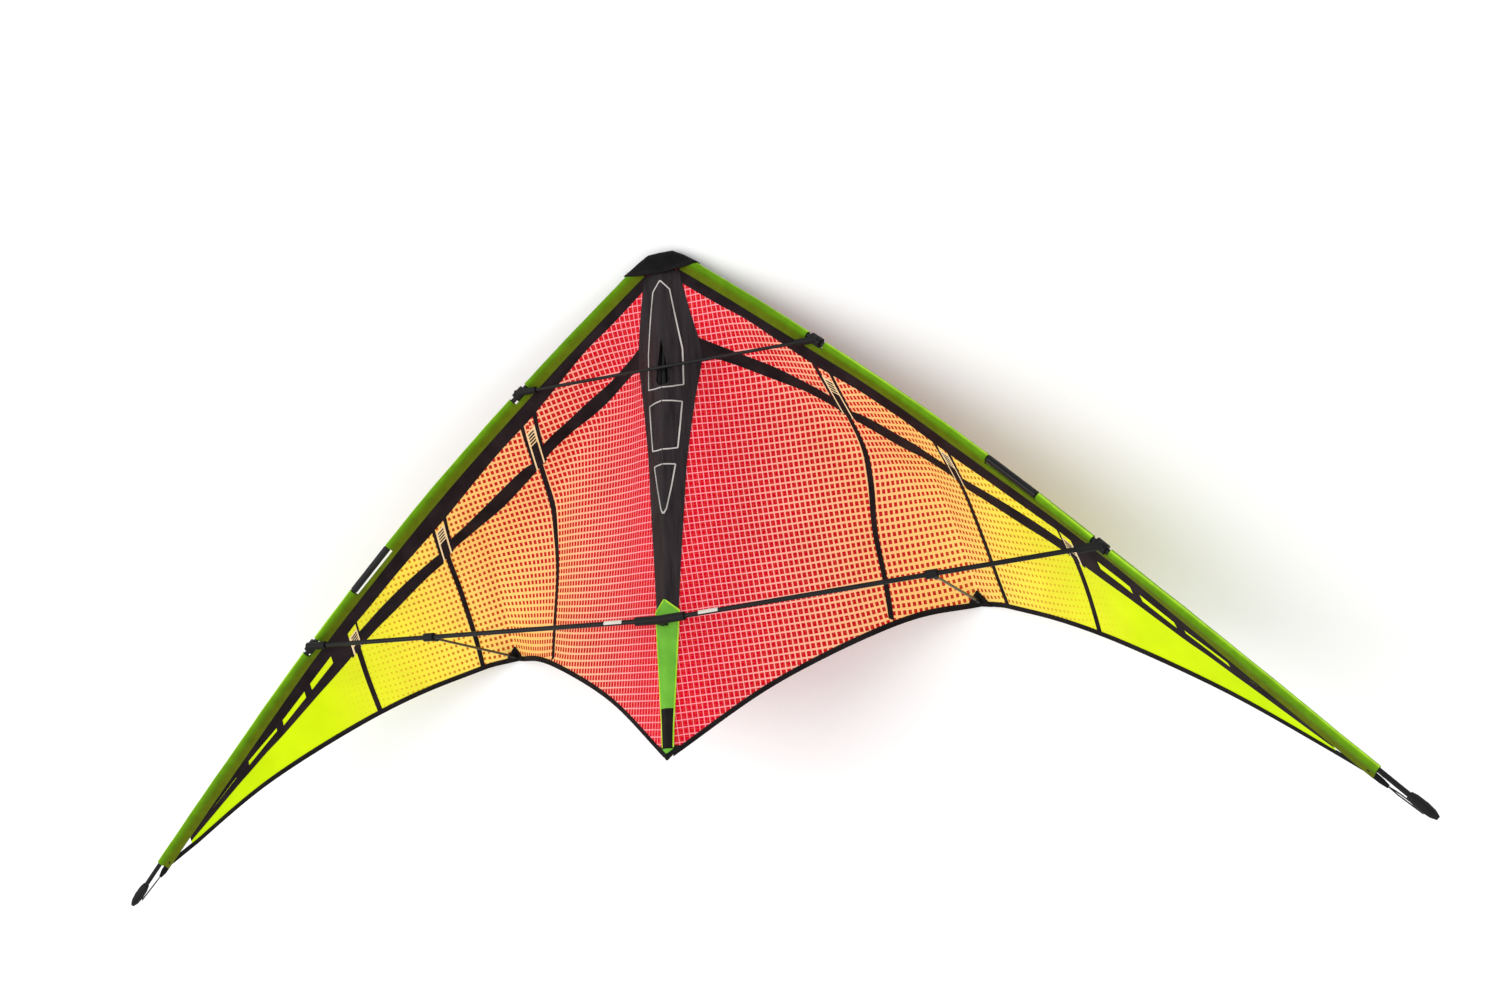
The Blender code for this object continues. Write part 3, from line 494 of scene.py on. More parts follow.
def cloth(name, grid, thickness, material, stands_for=None, lift=0.0, cut=None, normals=None):
    """A sheet of cloth; cut gives each grid point's place on the flat cloth, in metres."""
    mesh = bmesh.new()
    places = add_sheet(mesh, grid, thickness, lift, normals)
    cut = cut or flat_cut(grid)
    map_cut(mesh, {vert: cut[i][j] for vert, (i, j) in places.items()})
    return finish_mesh(name, mesh, material, stands_for)


def cloth_size(grid):
    """Width, length and area of the flat cloth that a grid was cut from."""
    cut = flat_cut(grid)
    width = max(line[-1][0] for line in cut)
    length = max(place[1] for place in cut[-1])
    area = 0.0
    for upper, lower in zip(grid, grid[1:]):
        for j in range(len(upper) - 1):
            first = (upper[j + 1] - upper[j]).cross(lower[j] - upper[j]).length / 2
            second = (lower[j + 1] - upper[j + 1]).cross(lower[j + 1] - lower[j]).length / 2
            area += first + second
    return width, length, area


def declare_cloth(grid, height=None):
    """Works out the width, length and area of the cloth that a grid was cut from, with height as the length
    where it is given; nothing is done with them.
    """
    width, length, area = cloth_size(grid)
    length = height or length


# Printed ripstop
# The panels are coated ripstop with one print across the whole wing: red squares by the
# spine that shrink row by row as the ground turns from salmon through amber to plain lime.

PRINT_ACROSS = 0.0060
PRINT_DOWN = 0.0079
PRINT_TURN = math.radians(7.5)
PRINT_END = 0.80
GROUND_COLOURS = (
    (0.00, (1.00, 0.31, 0.38)),
    (0.06, (1.00, 0.35, 0.39)),
    (0.11, (1.00, 0.41, 0.37)),
    (0.18, (1.00, 0.49, 0.30)),
    (0.24, (1.00, 0.53, 0.23)),
    (0.30, (1.00, 0.58, 0.18)),
    (0.35, (1.00, 0.65, 0.17)),
    (0.41, (0.97, 0.74, 0.090)),
    (0.46, (0.86, 0.76, 0.045)),
    (0.52, (0.74, 0.79, 0.020)),
    (0.58, (0.62, 0.80, 0.003)),
    (0.80, (0.52, 0.80, 0.002)),
)
SQUARE_COLOURS = (
    (0.00, (0.66, 0.0004, 0.022)),
    (0.11, (0.60, 0.0010, 0.016)),
    (0.18, (0.54, 0.0020, 0.013)),
    (0.24, (0.50, 0.0050, 0.013)),
    (0.30, (0.48, 0.0140, 0.014)),
    (0.35, (0.48, 0.0500, 0.011)),
    (0.41, (0.55, 0.1800, 0.012)),
    (0.46, (0.62, 0.3300, 0.015)),
    (0.52, (0.68, 0.5800, 0.015)),
    (0.58, (0.62, 0.8000, 0.003)),
    (0.80, (0.52, 0.8000, 0.002)),
)
SQUARE_SHARES = (
    (0.00, 0.91),
    (0.08, 0.85),
    (0.16, 0.76),
    (0.24, 0.67),
    (0.32, 0.58),
    (0.40, 0.48),
    (0.47, 0.38),
    (0.54, 0.25),
    (0.60, 0.0),
    (0.80, 0.0),
)
RIPSTOP_PITCH = 0.0042
CLOTH_THICKNESS = 0.0004
YARN_EDGE = (0.86, 0.97)
INK_EDGE = (-0.03, 0.07)
YARN_TINT = 0.14
YARN_COLOUR = (0.90, 0.50, 0.03, 1)


def cell_place(tree, value, pitch):
    """How far a place is from the middle of its cell, from 0 to 1 at the cell's edge."""
    share = calc(tree, "FRACT", calc(tree, "DIVIDE", value, pitch))
    return calc(tree, "ABSOLUTE", calc(tree, "SUBTRACT", calc(tree, "MULTIPLY", share, 2.0), 1.0))


def soft_step(tree, value, start, end):
    """A smooth change from 0 at start to 1 at end."""
    values = {"Value": value, "From Min": start, "From Max": end}
    return add(tree, "ShaderNodeMapRange", values, interpolation_type="SMOOTHSTEP").outputs["Result"]


def ripstop_height(tree, across, down):
    """The weave's height: thin raised yarns in a square grid."""
    yarn_across = soft_step(tree, cell_place(tree, across, RIPSTOP_PITCH), *YARN_EDGE)
    yarn_down = soft_step(tree, cell_place(tree, down, RIPSTOP_PITCH), *YARN_EDGE)
    return calc(tree, "MAXIMUM", yarn_across, yarn_down)


def cut_axes(tree, turn=0.0):
    """A place on the flat cloth, in metres along and down, with the axes turned."""
    place = add(tree, "ShaderNodeUVMap", uv_map="cut").outputs["UV"]
    if turn:
        place = add(tree, "ShaderNodeMapping", {"Vector": place, "Rotation": (0, 0, turn)}).outputs["Vector"]
    axes = add(tree, "ShaderNodeSeparateXYZ", {"Vector": place}).outputs
    return axes["X"], axes["Y"]


def print_ramp(tree, distance, end, stops):
    """A ramp over a distance, whose stops are in metres."""
    return ramp(tree, calc(tree, "DIVIDE", distance, end), [(place / end, value) for place, value in stops])


printed, tree, shader = new_material("printed_ripstop")
out, down = cut_axes(tree)
ground = print_ramp(tree, out, PRINT_END, GROUND_COLOURS)
squares = print_ramp(tree, out, PRINT_END, SQUARE_COLOURS)
size = print_ramp(tree, out, PRINT_END, SQUARE_SHARES)
print_out, print_down = cut_axes(tree, -PRINT_TURN)
cell_out = cell_place(tree, print_out, PRINT_ACROSS)
farthest = calc(tree, "MAXIMUM", cell_out, cell_place(tree, print_down, PRINT_DOWN))
ink = soft_step(tree, calc(tree, "SUBTRACT", size, farthest), *INK_EDGE)
print_colour = mix_colour(tree, ink, ground, squares)
cloudy = ramp(tree, object_noise(tree, 18.0), ((0.3, 0.93), (0.7, 1.05)))
yarns = ripstop_height(tree, out, down)
shade = mix_colour(tree, calc(tree, "MULTIPLY", yarns, YARN_TINT), print_colour, YARN_COLOUR)
set_coat(tree, shader, mix_colour(tree, 1.0, shade, cloudy, "MULTIPLY"), 0.48, 0.04)
wrinkles = object_noise(tree, 60.0, 2.0)
relief = calc(tree, "ADD", calc(tree, "MULTIPLY", yarns, 0.3), wrinkles)
set_bump(tree, shader, relief, 0.25, 0.0006)

# Sail panels
# Four panels a wing, hot-cut and sewn edge to edge, stretched between the leading edge
# sleeve and the bound trailing edge. The inner one runs on under the dark centre panel.

PANELS = (
    ("sail_inner", 0, 1, 56, 110, "sail_red"),
    ("sail_middle", 1, 2, 36, 90, "sail_orange"),
    ("sail_outer", 2, 3, 32, 60, "sail_yellow"),
    ("sail_tip", 3, 4, 60, 30, "sail_lime"),
)
SEAM_LINES = {
    1: (
        (0.0, 1.060), (0.045, 1.052), (0.090, 1.044), (0.135, 1.004), (0.207, 0.955), (0.278, 0.965),
        (0.335, 0.970),
    ),
    2: ((0.0, 2.010), (0.069, 2.010), (0.122, 1.985), (0.188, 1.980), (0.235, 2.005)),
    3: ((0.0, 3.015), (0.050, 3.010), (0.145, 2.990)),
}
WING_END = 3.93
CENTRE_HALF_WIDTHS = (
    (0.0, 0.0280),
    (0.137, 0.0420),
    (0.183, 0.0440),
    (0.284, 0.0356),
    (0.430, 0.0254),
    (0.640, 0.0167),
    (0.737, 0.0134),
    (0.928, 0.0072),
    (1.0, 0.0060),
)
UNDER_CENTRE = 0.006
INTO_SLEEVE = 0.003
INTO_BINDING = 0.002


def centre_station(drop, inset=0.0):
    """The station of the centre panels' edge at this drop."""
    head, foot = rib_end(1.0)[0].x, rib_end(1.0)[1].x
    return (interpolate(CENTRE_HALF_WIDTHS, drop) - inset) / (head + (foot - head) * drop)


def smooth_line(pairs, value):
    """The height at this value of a smooth curve through the pairs."""
    return spline([x for x, _ in pairs], [Vector((y, 0)) for _, y in pairs], value).x


def seam_station(seam, distance):
    """The station of a seam this many metres down it."""
    return smooth_line(SEAM_LINES[seam], distance)


def panel_edge(seam, drop):
    """The station at this drop of a panel's edge: the centre panel, a seam or the wing's end."""
    if seam == 0:
        return centre_station(drop, UNDER_CENTRE)
    if seam not in SEAM_LINES:
        return WING_END
    station = float(seam)
    for _ in range(3):
        station = seam_station(seam, drop * rib_end(station)[2])
    return station


def even(start, end, count):
    """Evenly spaced values from start to end, one more than count."""
    return [start + (end - start) * k / count for k in range(count + 1)]


def panel_grid(first, last, columns, rows):
    """The right wing's grid of a panel, from under the sleeve to inside the binding."""
    grid = []
    for i in range(rows + 1):
        line = []
        for station in even(panel_edge(first, i / rows), panel_edge(last, i / rows), columns):
            length = rib_end(station)[2]
            top = -INTO_SLEEVE / length
            bottom = 1 - INTO_BINDING / length
            line.append(sail_point(station, top + (bottom - top) * i / rows))
        grid.append(line)
    return grid


def unwrapped(grid):
    """Each grid point's place on the panel laid flat, as complex numbers in metres."""
    mesh = bmesh.new()
    points = [[mesh.verts.new(place) for place in row] for row in grid]
    for upper, lower in zip(points, points[1:]):
        for j in range(len(upper) - 1):
            mesh.faces.new((lower[j], lower[j + 1], upper[j + 1], upper[j]))
    data = bpy.data.meshes.new("flat_pattern")
    mesh.to_mesh(data)
    mesh.free()
    pattern = bpy.data.objects.new("flat_pattern", data)
    bpy.context.collection.objects.link(pattern)
    deselect_all()
    bpy.context.view_layer.objects.active = pattern
    pattern.select_set(True)
    bpy.ops.object.mode_set(mode="EDIT")
    bpy.ops.mesh.select_all(action="SELECT")
    bpy.ops.uv.unwrap(method="MINIMUM_STRETCH", margin=0.0)
    bpy.ops.object.mode_set(mode="OBJECT")
    flat = [0j] * len(data.vertices)
    for loop, place in zip(data.loops, data.uv_layers.active.data):
        flat[loop.vertex_index] = complex(*place.uv)
    flat_area = 0.0
    for face in data.polygons:
        corners = [flat[k] for k in face.vertices]
        for a, b in zip(corners, corners[1:] + corners[:1]):
            flat_area += (a.real * b.imag - b.real * a.imag) / 2
    scale = math.sqrt(sum(face.area for face in data.polygons) / flat_area)
    bpy.data.objects.remove(pattern)
    columns = len(grid[0])
    return [[flat[i * columns + j] * scale for j in range(columns)] for i in range(len(grid))]


def laid_beside(flat, edge):
    """The flat panel turned and moved until its first column lies along the given edge."""
    column = [row[0] for row in flat]
    targets = []
    for i in range(len(column)):
        place = i / (len(column) - 1) * (len(edge) - 1)
        k = min(int(place), len(edge) - 2)
        targets.append(edge[k] + (edge[k + 1] - edge[k]) * (place - k))
    middle = sum(column) / len(column)
    aim = sum(targets) / len(targets)
    turn = sum((t - aim) * (p - middle).conjugate() for p, t in zip(column, targets))
    turn /= abs(turn)
    return [[(p - middle) * turn + aim for p in row] for row in flat]


sail_pieces = {}
sail_grids = {}
edge = None
for name, first, last, columns, rows, slot in PANELS:
    grid = panel_grid(first, last, columns, rows)
    edge = edge or [complex(row[0].x, row[0].y) for row in grid]
    flat = laid_beside(unwrapped(grid), edge)
    edge = [row[-1] for row in flat]
    cut = [[(place.real, place.imag) for place in row] for row in flat]
    for hand, side in SIDES:
        wing_grid = [[mirrored(p, side) for p in row] for row in grid]
        cut_name, stands_for = f"{name}_cloth_{hand}", f"{name}_{hand}"
        piece = cloth(cut_name, wing_grid, CLOTH_THICKNESS, printed, stands_for, cut=cut)
        sail_pieces[name, hand] = piece
        sail_grids[name, hand] = wing_grid


# Black tape
# The strip behind the sleeve, the cross bands and the seam tapes are one aubergine-black
# polyester, hot-cut and sewn through the sail, so they show on both of its faces.

TAPE_COLOURS = ((0.009, 0.0055, 0.0065), (0.024, 0.015, 0.017))
TAPE_THICKNESS = 0.0011
STRIP_START = 0.14
UNDER_HEM = 0.001
STRIP_EDGE = (
    (0.14, 0.0155), (0.40, 0.0150), (0.60, 0.0130), (0.80, 0.0165), (1.00, 0.0205), (1.36, 0.0200),
    (1.60, 0.0215), (1.90, 0.0240), (2.15, 0.0235), (2.50, 0.0205), (2.95, 0.0190), (3.40, 0.0170),
    (3.60, 0.0090), (3.93, 0.0020),
)
BANDS = (
    (0.19, 1.008,
     ((0.19, 0.0730), (0.255, 0.0700), (0.42, 0.0625), (0.65, 0.0535), (0.87, 0.0520), (1.01, 0.0535)),
     ((0.19, 0.1000), (0.29, 0.0870), (0.34, 0.0825), (0.48, 0.0750), (0.70, 0.0665), (0.82, 0.0635),
      (1.01, 0.0660))),
    (1.098, 1.960,
     ((1.09, 0.0600), (1.20, 0.0565), (1.43, 0.0550), (1.76, 0.0540), (1.96, 0.0510)),
     ((1.09, 0.0690), (1.20, 0.0700), (1.45, 0.0715), (1.75, 0.0680), (1.97, 0.0637))),
    (2.060, 2.985,
     ((2.06, 0.0540), (2.30, 0.0460), (2.50, 0.0395), (2.74, 0.0340), (2.99, 0.0315)),
     ((2.06, 0.0678), (2.20, 0.0640), (2.37, 0.0600), (2.60, 0.0550), (2.80, 0.0500), (2.99, 0.0478))),
)
WEAVE_TINT = 0.12
TAPE_SPECULAR = 0.07


def weave_height(tree, across, down, pitch):
    """A plain weave: crossing yarns, one over and one under."""
    first = calc(tree, "SINE", calc(tree, "MULTIPLY", across, 2 * math.pi / pitch))
    second = calc(tree, "SINE", calc(tree, "MULTIPLY", down, 2 * math.pi / pitch))
    return calc(tree, "MULTIPLY", first, second)


def tape_material(name, colours, pitch, roughness, relief=0.0003):
    """Woven tape or cloth that follows the piece's own cut."""
    material, tree, shader = new_material(name)
    dark, light = colours
    weave = weave_height(tree, *cut_axes(tree), pitch)
    mixed = calc(tree, "ADD", calc(tree, "MULTIPLY", weave, WEAVE_TINT), object_noise(tree, 40.0))
    set_coat(tree, shader, ramp(tree, mixed, ((0.3, dark), (0.75, light))), roughness, TAPE_SPECULAR)
    set_bump(tree, shader, weave, 0.5, relief)
    return material


def tape_grid(first, second, side, across=3):
    """A grid on the sail between two equally long lines of (station, distance down the rib)."""
    grid = []
    for j in range(across + 1):
        row = []
        for start, end in zip(first, second):
            station = start[0] + (end[0] - start[0]) * j / across
            distance = start[1] + (end[1] - start[1]) * j / across
            row.append(mirrored(down_rib(station, distance), side))
        grid.append(row)
    return grid


def edge_line(pairs, start, end, steps):
    """Points of (station, distance) along a smooth edge between two stations."""
    return [(station, smooth_line(pairs, station)) for station in even(start, end, steps)]


def beside(station, distance, offset):
    """The (station, distance) this many metres further out, measured square to the seam."""
    step = 0.02
    across = (down_rib(station + step, distance) - down_rib(station - step, distance)) / (2 * step)
    down = (down_rib(station, distance + step) - down_rib(station, distance - step)).normalized()
    return (station + offset / across.cross(down).length, distance)


def seam_line(seam, offsets, top, foot, steps):
    """A line down a seam, whose offset from it changes from the first to the second."""
    spots = zip(even(top, foot, steps), even(*offsets, steps))
    return [beside(seam_station(seam, distance), distance, offset) for distance, offset in spots]


tape = tape_material("black_tape", TAPE_COLOURS, 0.0011, 0.62)
for hand, side in SIDES:
    lower = edge_line(STRIP_EDGE, STRIP_START, WING_END, 160)
    upper = [(station, -UNDER_HEM) for station, _ in lower]
    grid = tape_grid(upper, lower, side)
    strip = cloth(f"edge_strip_{hand}", grid, TAPE_THICKNESS, tape)
    declare_cloth(grid)

sewn_on = {place: [] for place in sail_pieces}
for hand, side in SIDES:
    for k, (start, end, upper, lower) in enumerate(BANDS):
        grid = tape_grid(edge_line(upper, start, end, 60), edge_line(lower, start, end, 60), side)
        band = cloth(f"cross_band_{k + 1}_{hand}", grid, TAPE_THICKNESS, tape)
        sewn_on[PANELS[k][0], hand].append(band)

# Spreader labels
# A white vinyl label is stuck part of the way round each lower spreader, beside the tee. It
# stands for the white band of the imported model.

LABEL_COLOURS = ((0.58, 0.55, 0.47), (0.74, 0.72, 0.66))
LABEL_TOWARDS = Vector((-0.10, 0.94, 0.32))
LABEL_WRAP = math.radians(206)
LABEL_LIFT = 0.00018
LABEL_THICKNESS = 0.00025
LABEL_ROWS = 16
LABEL_COLUMNS = 8
LABEL_END = 0.003
LOWER_ROD_RADIUS = 0.00275


def band_ends(band):
    """The middles of both ends of a CAD band, from the left."""
    points = [LAY_DOWN.inverted() @ vert.co for vert in nodes[band].data.vertices]
    ends = []
    for x in (min(p.x for p in points), max(p.x for p in points)):
        ring = [p for p in points if abs(p.x - x) < LABEL_END]
        ends.append(sum(ring, Vector()) / len(ring))
    return ends


white_label = tape_material("white_label", LABEL_COLOURS, 0.0010, 0.5)
for hand, side in SIDES:
    band = f"spreader_band_{hand}"
    start, end = band_ends(band)
    along = (end - start).normalized()
    first = (LABEL_TOWARDS - along * LABEL_TOWARDS.dot(along)).normalized()
    second = along.cross(first)
    grid, normals = [], []
    for i in range(LABEL_ROWS + 1):
        angle = LABEL_WRAP * (i / LABEL_ROWS - 0.5)
        outward = first * math.cos(angle) + second * math.sin(angle)
        raised = outward * (LOWER_ROD_RADIUS + LABEL_LIFT)
        grid.append([start.lerp(end, share) + raised for share in even(0, 1, LABEL_COLUMNS)])
        normals.append([outward] * (LABEL_COLUMNS + 1))
    name = f"spreader_label_{hand}"
    label = cloth(name, grid, LABEL_THICKNESS, white_label, band, normals=normals)
    declare_cloth(grid)

# Seam forks and tapes
# From each cross band a tape runs down the seam to the trailing edge. Above the band it opens
# into a fork: two dark lines round a pale slip with four slanted ticks. A fork's three sizes
# say how far down the seam its slip, its tape and its foot are.

FORKS = {1: (0.0305, 0.0450, 0.0680), 2: (0.0290, 0.0450, 0.0655), 3: (0.0255, 0.0400, 0.0490)}
FORK_START = 0.015
FORK_NEAR = (0.0061, 0.0061)
FORK_FAR = (0.0105, 0.0086)
SLIP_HALF = (0.0066, 0.0066)
FORK_TAPE_HALF = (0.0042, 0.0042)
SEAM_TAPE_HALF = (0.0029, 0.0029)
SEAM_TAPE_LAP = 0.002
SEAM_TAPE_END = 0.004
TICKS = 4
TICK_HALF_LENGTH = 0.0037
TICK_WIDTH = 0.0017
TICK_MARGIN = 0.0022
RAISED = 1.2
SUNK = 0.9
SLIP_COLOURS = ((0.95, 0.70, 0.34), (1.0, 0.84, 0.52))


def seam_strip(seam, side, near, far, top, foot, steps, across):
    """A grid down a seam between two offsets, each given at its top and at its foot."""
    first = seam_line(seam, near, top, foot, steps)
    return tape_grid(first, seam_line(seam, far, top, foot, steps), side, across)


def centred_strip(seam, side, half, top, foot, steps, across):
    """A grid down the middle of a seam, with half its width at its top and at its foot."""
    return seam_strip(seam, side, [-h for h in half], half, top, foot, steps, across)


def add_tick(mesh, seam, side, height):
    """One slanted tick across the pale slip."""
    edges = []
    for distance in (height, height + TICK_WIDTH):
        station = seam_station(seam, distance)
        offsets = (-TICK_HALF_LENGTH, 0.0, TICK_HALF_LENGTH)
        edges.append([beside(station, distance, offset) for offset in offsets])
    add_sheet(mesh, tape_grid(*edges, side, 1), TAPE_THICKNESS * RAISED)


pale_slip = tape_material("pale_slip", SLIP_COLOURS, 0.0009, 0.6)
for hand, side in SIDES:
    for seam, (top, tape_top, foot) in FORKS.items():
        mesh = bmesh.new()
        for out in (-1, 1):
            near, far = [out * h for h in FORK_NEAR], [out * h for h in FORK_FAR]
            add_sheet(mesh, seam_strip(seam, side, near, far, FORK_START, foot, 16, 1), TAPE_THICKNESS)
        grid = centred_strip(seam, side, FORK_TAPE_HALF, tape_top, foot, 8, 2)
        add_sheet(mesh, grid, TAPE_THICKNESS * RAISED)
        spacing = (tape_top - top - TICK_MARGIN) / TICKS
        for k in range(TICKS):
            add_tick(mesh, seam, side, top + TICK_MARGIN + spacing * k)
        fork = finish_mesh(f"seam_fork_{seam}_{hand}", mesh, tape)
        grid = centred_strip(seam, side, SLIP_HALF, top, foot, 12, 3)
        slip = cloth(f"seam_slip_{seam}_{hand}", grid, TAPE_THICKNESS * SUNK, pale_slip)
        seam_end = rib_end(float(seam))[2] - SEAM_TAPE_END
        grid = centred_strip(seam, side, SEAM_TAPE_HALF, foot - SEAM_TAPE_LAP, seam_end, 60, 2)
        seam_tape = cloth(f"seam_tape_{seam}_{hand}", grid, TAPE_THICKNESS, tape)
        sewn_on[PANELS[seam - 1][0], hand] += [fork, slip, seam_tape]

# Wing tip lattice
# Past the lower connector the cross band is a lattice: a dark bar joined to the strip by four
# cross bars, so that three panes of the lime panel show through.

LATTICE_TOP = (
    (3.04, 0.0300), (3.134, 0.0280), (3.244, 0.0270), (3.395, 0.0245), (3.43, 0.0205), (3.585, 0.0150),
    (3.66, 0.0085), (3.93, 0.0015),
)
LATTICE_FOOT = (
    (3.04, 0.0465), (3.11, 0.0440), (3.25, 0.0390), (3.34, 0.0360), (3.42, 0.0330), (3.50, 0.0280),
    (3.58, 0.0240), (3.65, 0.0200), (3.83, 0.0110), (3.93, 0.0055),
)
LATTICE_START = 3.040
LATTICE_BARS = ((3.040, 3.132), (3.247, 3.278), (3.398, 3.431), (3.588, 3.660))
LATTICE_LAP = 0.003
LATTICE_BAR_SHARE = 1.08

for hand, side in SIDES:
    mesh = bmesh.new()
    lower = edge_line(LATTICE_FOOT, LATTICE_START, WING_END, 90)
    upper = [(station, interpolate(LATTICE_TOP, station)) for station, _ in lower]
    add_sheet(mesh, tape_grid(upper, lower, side), TAPE_THICKNESS)
    for start, end in LATTICE_BARS:
        stations = even(start, end, 6)
        upper = [(s, smooth_line(STRIP_EDGE, s) - LATTICE_LAP) for s in stations]
        lower = [(s, interpolate(LATTICE_TOP, s) + LATTICE_LAP) for s in stations]
        add_sheet(mesh, tape_grid(upper, lower, side), TAPE_THICKNESS * LATTICE_BAR_SHARE)
    lattice = finish_mesh(f"tip_lattice_{hand}", mesh, tape)
    sewn_on["sail_tip", hand].append(lattice)

for (name, hand), piece in sail_pieces.items():
    grid = sail_grids[name, hand]
    declare_cloth(grid)

# Stitching
# The cloth is joined with lock stitches of twisted polyester thread, green or black. They are
# short raised beads, laid end to end along a row.

STITCH_LENGTH = 0.0026
STITCH_PITCH = 0.0033
STITCH_WIDTH = 0.00055
STITCH_HEIGHT = 0.0003
STITCH_SINK = 0.6
STATION_STEP = 0.01
GREEN_THREAD_COLOURS = ((0.10, 0.17, 0.010), (0.24, 0.36, 0.03))
BLACK_THREAD_COLOURS = ((0.030, 0.024, 0.026), (0.075, 0.062, 0.066))
FRONT = Vector((0, 0, 1))


def thread_material(name, colours):
    """Twisted polyester thread."""
    material, tree, shader = new_material(name)
    dark, light = colours
    twist = object_noise(tree, 1500.0, 2.0)
    set_coat(tree, shader, ramp(tree, twist, ((0.35, dark), (0.7, light))), 0.55, 0.3)
    set_bump(tree, shader, twist, 0.4, 0.0001)
    return material


def add_stitch(mesh, start, end, normal):
    """One bead of thread: a lozenge with a raised middle."""
    along = (end - start).normalized()
    across = along.cross(normal).normalized() * STITCH_WIDTH / 2
    middle = (start + end) / 2
    low = normal * STITCH_HEIGHT * STITCH_SINK
    ring = [start, middle + across, end, middle - across]
    points = [mesh.verts.new(LAY_DOWN @ (p - low)) for p in ring]
    top = mesh.verts.new(LAY_DOWN @ (middle + normal * STITCH_HEIGHT))
    for a, b in zip(points, points[1:] + points[:1]):
        face = mesh.faces.new((a, b, top))
        face.smooth = True
    mesh.faces.new(list(reversed(points)))


def add_stitch_row(mesh, path, normals):
    """Stitches along a path of points, each with its normal."""
    reach = [0.0]
    for a, b in zip(path, path[1:]):
        reach.append(reach[-1] + (b - a).length)
    places, facing = list(zip(reach, path)), list(zip(reach, normals))
    start = 0.0
    while start + STITCH_LENGTH <= reach[-1]:
        end = start + STITCH_LENGTH
        normal = interpolate(facing, (start + end) / 2).normalized()
        add_stitch(mesh, interpolate(places, start), interpolate(places, end), normal)
        start += STITCH_PITCH


def stitched_rows(name, rows, material):
    """A piece made of rows of stitches; each row is a path and its normals."""
    mesh = bmesh.new()
    for path, normals in rows:
        add_stitch_row(mesh, path, normals)
    return finish_mesh(name, mesh, material)


def front_row(path):
    """A row of stitches that faces straight out of the front."""
    return path, [FRONT] * len(path)


def sail_normal(surface, station, place, step):
    """The sail's unit normal at a station, and at a drop or a distance down its rib."""
    across = surface(station + STATION_STEP, place) - surface(max(station - STATION_STEP, 0.0), place)
    down = surface(station, place + step) - surface(station, place - step)
    return down.cross(across).normalized()


def sail_row(line, side, height):
    """A row of stitches over the sail's front through (station, distance) points."""
    path, normals = [], []
    for station, distance in line:
        normal = sail_normal(down_rib, station, distance, 0.002)
        path.append(mirrored(down_rib(station, distance) + normal * height, side))
        normals.append(mirrored(normal, side))
    return path, normals


green_thread = thread_material("green_thread", GREEN_THREAD_COLOURS)
black_thread = thread_material("black_thread", BLACK_THREAD_COLOURS)

# Leading edge sleeves
# Each is one strip of green cloth folded round the rod and sewn through the sail, cut away
# at both connectors and at the rods' joint, where only its hem runs on. A gap is given by
# its start, its end and how far from the rod's axis the hem starts there.

SLEEVE_START_X = 0.030
SLEEVE_END_X = 0.729
SLEEVE_GAPS = ((0.1790, 0.1990, 0.0052), (0.3745, 0.4255, 0.0068), (0.4785, 0.4955, 0.0052))
SLEEVE_STEP = 0.0065
SLEEVE_RADIUS = 0.0040
SLEEVE_WALL = 0.0006
SLEEVE_PUCKERS = ((0.00012, 900), (0.00008, 2100))
FLANGE_LIFT = 0.0010
FLANGE_TURN = 0.0100
NECK = 0.0072
NECK_SHARE = 1.15
ROUND_ANGLES = range(48, 313, 22)
HEM_ARC = 0.0037
HEM_ROWS = (0.0110, 0.0096)
HEM_ROW_START_X = 0.036
HEM_ROW_STEPS = 150
SHORT_OF_END = 0.002
# The sleeve's colour by distance round the fold from its outermost line: a painted highlight in bright lime
# along that rim, then green that darkens to olive towards the hems, which lie over the black strip.
SLEEVE_COLOURS_WITH_RIM_HIGHLIGHT = (
    (0.0000, (0.52, 0.86, 0.060)),
    (0.0012, (0.24, 0.50, 0.012)),
    (0.0028, (0.125, 0.30, 0.005)),
    (0.0070, (0.100, 0.23, 0.004)),
    (0.0105, (0.095, 0.18, 0.003)),
    (0.0122, (0.110, 0.15, 0.003)),
    (0.0200, (0.100, 0.13, 0.003)),
)
SLEEVE_RAMP_END = 0.020


def sleeve_frame(x):
    """The rod's axis, the direction to the hem and the direction out of the front."""
    first = sleeve_inward(x).normalized()
    second = first.cross(leading_direction(x)).normalized()
    return leading_edge(x), first, second if second.z > 0 else -second


def sleeve_profile(x):
    """The folded strip, seen from its end: back hem, round the rod, front hem."""
    radius = SLEEVE_RADIUS + sum(depth * math.sin(x * pace) for depth, pace in SLEEVE_PUCKERS)
    flange = [(SLEEVE_WIDTH, -FLANGE_LIFT), (FLANGE_TURN, -FLANGE_LIFT), (NECK, -FLANGE_LIFT * NECK_SHARE)]
    turns = [math.radians(360 - a) for a in ROUND_ANGLES]
    around = [(radius * math.cos(a), radius * math.sin(a)) for a in turns]
    return flange + around + [(a, -b) for a, b in reversed(flange)]


def profile_normals(profile, first, second):
    """The unit normal at each point of a profile that lies in the plane of two directions."""
    normals = []
    for k in range(len(profile)):
        before, after = profile[max(k - 1, 0)], profile[min(k + 1, len(profile) - 1)]
        da, db = after[0] - before[0], after[1] - before[1]
        normals.append((second * da - first * db).normalized())
    return normals


def sleeve_xs(start, end):
    """The places of a sleeve part's rows."""
    return even(start, end, max(3, round((end - start) / SLEEVE_STEP)))


def add_mapped(mesh, grid, thickness, normals, cut, spots):
    """Adds a sheet and notes the place of its points on the flat cloth."""
    places = add_sheet(mesh, grid, thickness, 0.0, normals)
    spots.update({vert: cut[i][j] for vert, (i, j) in places.items()})


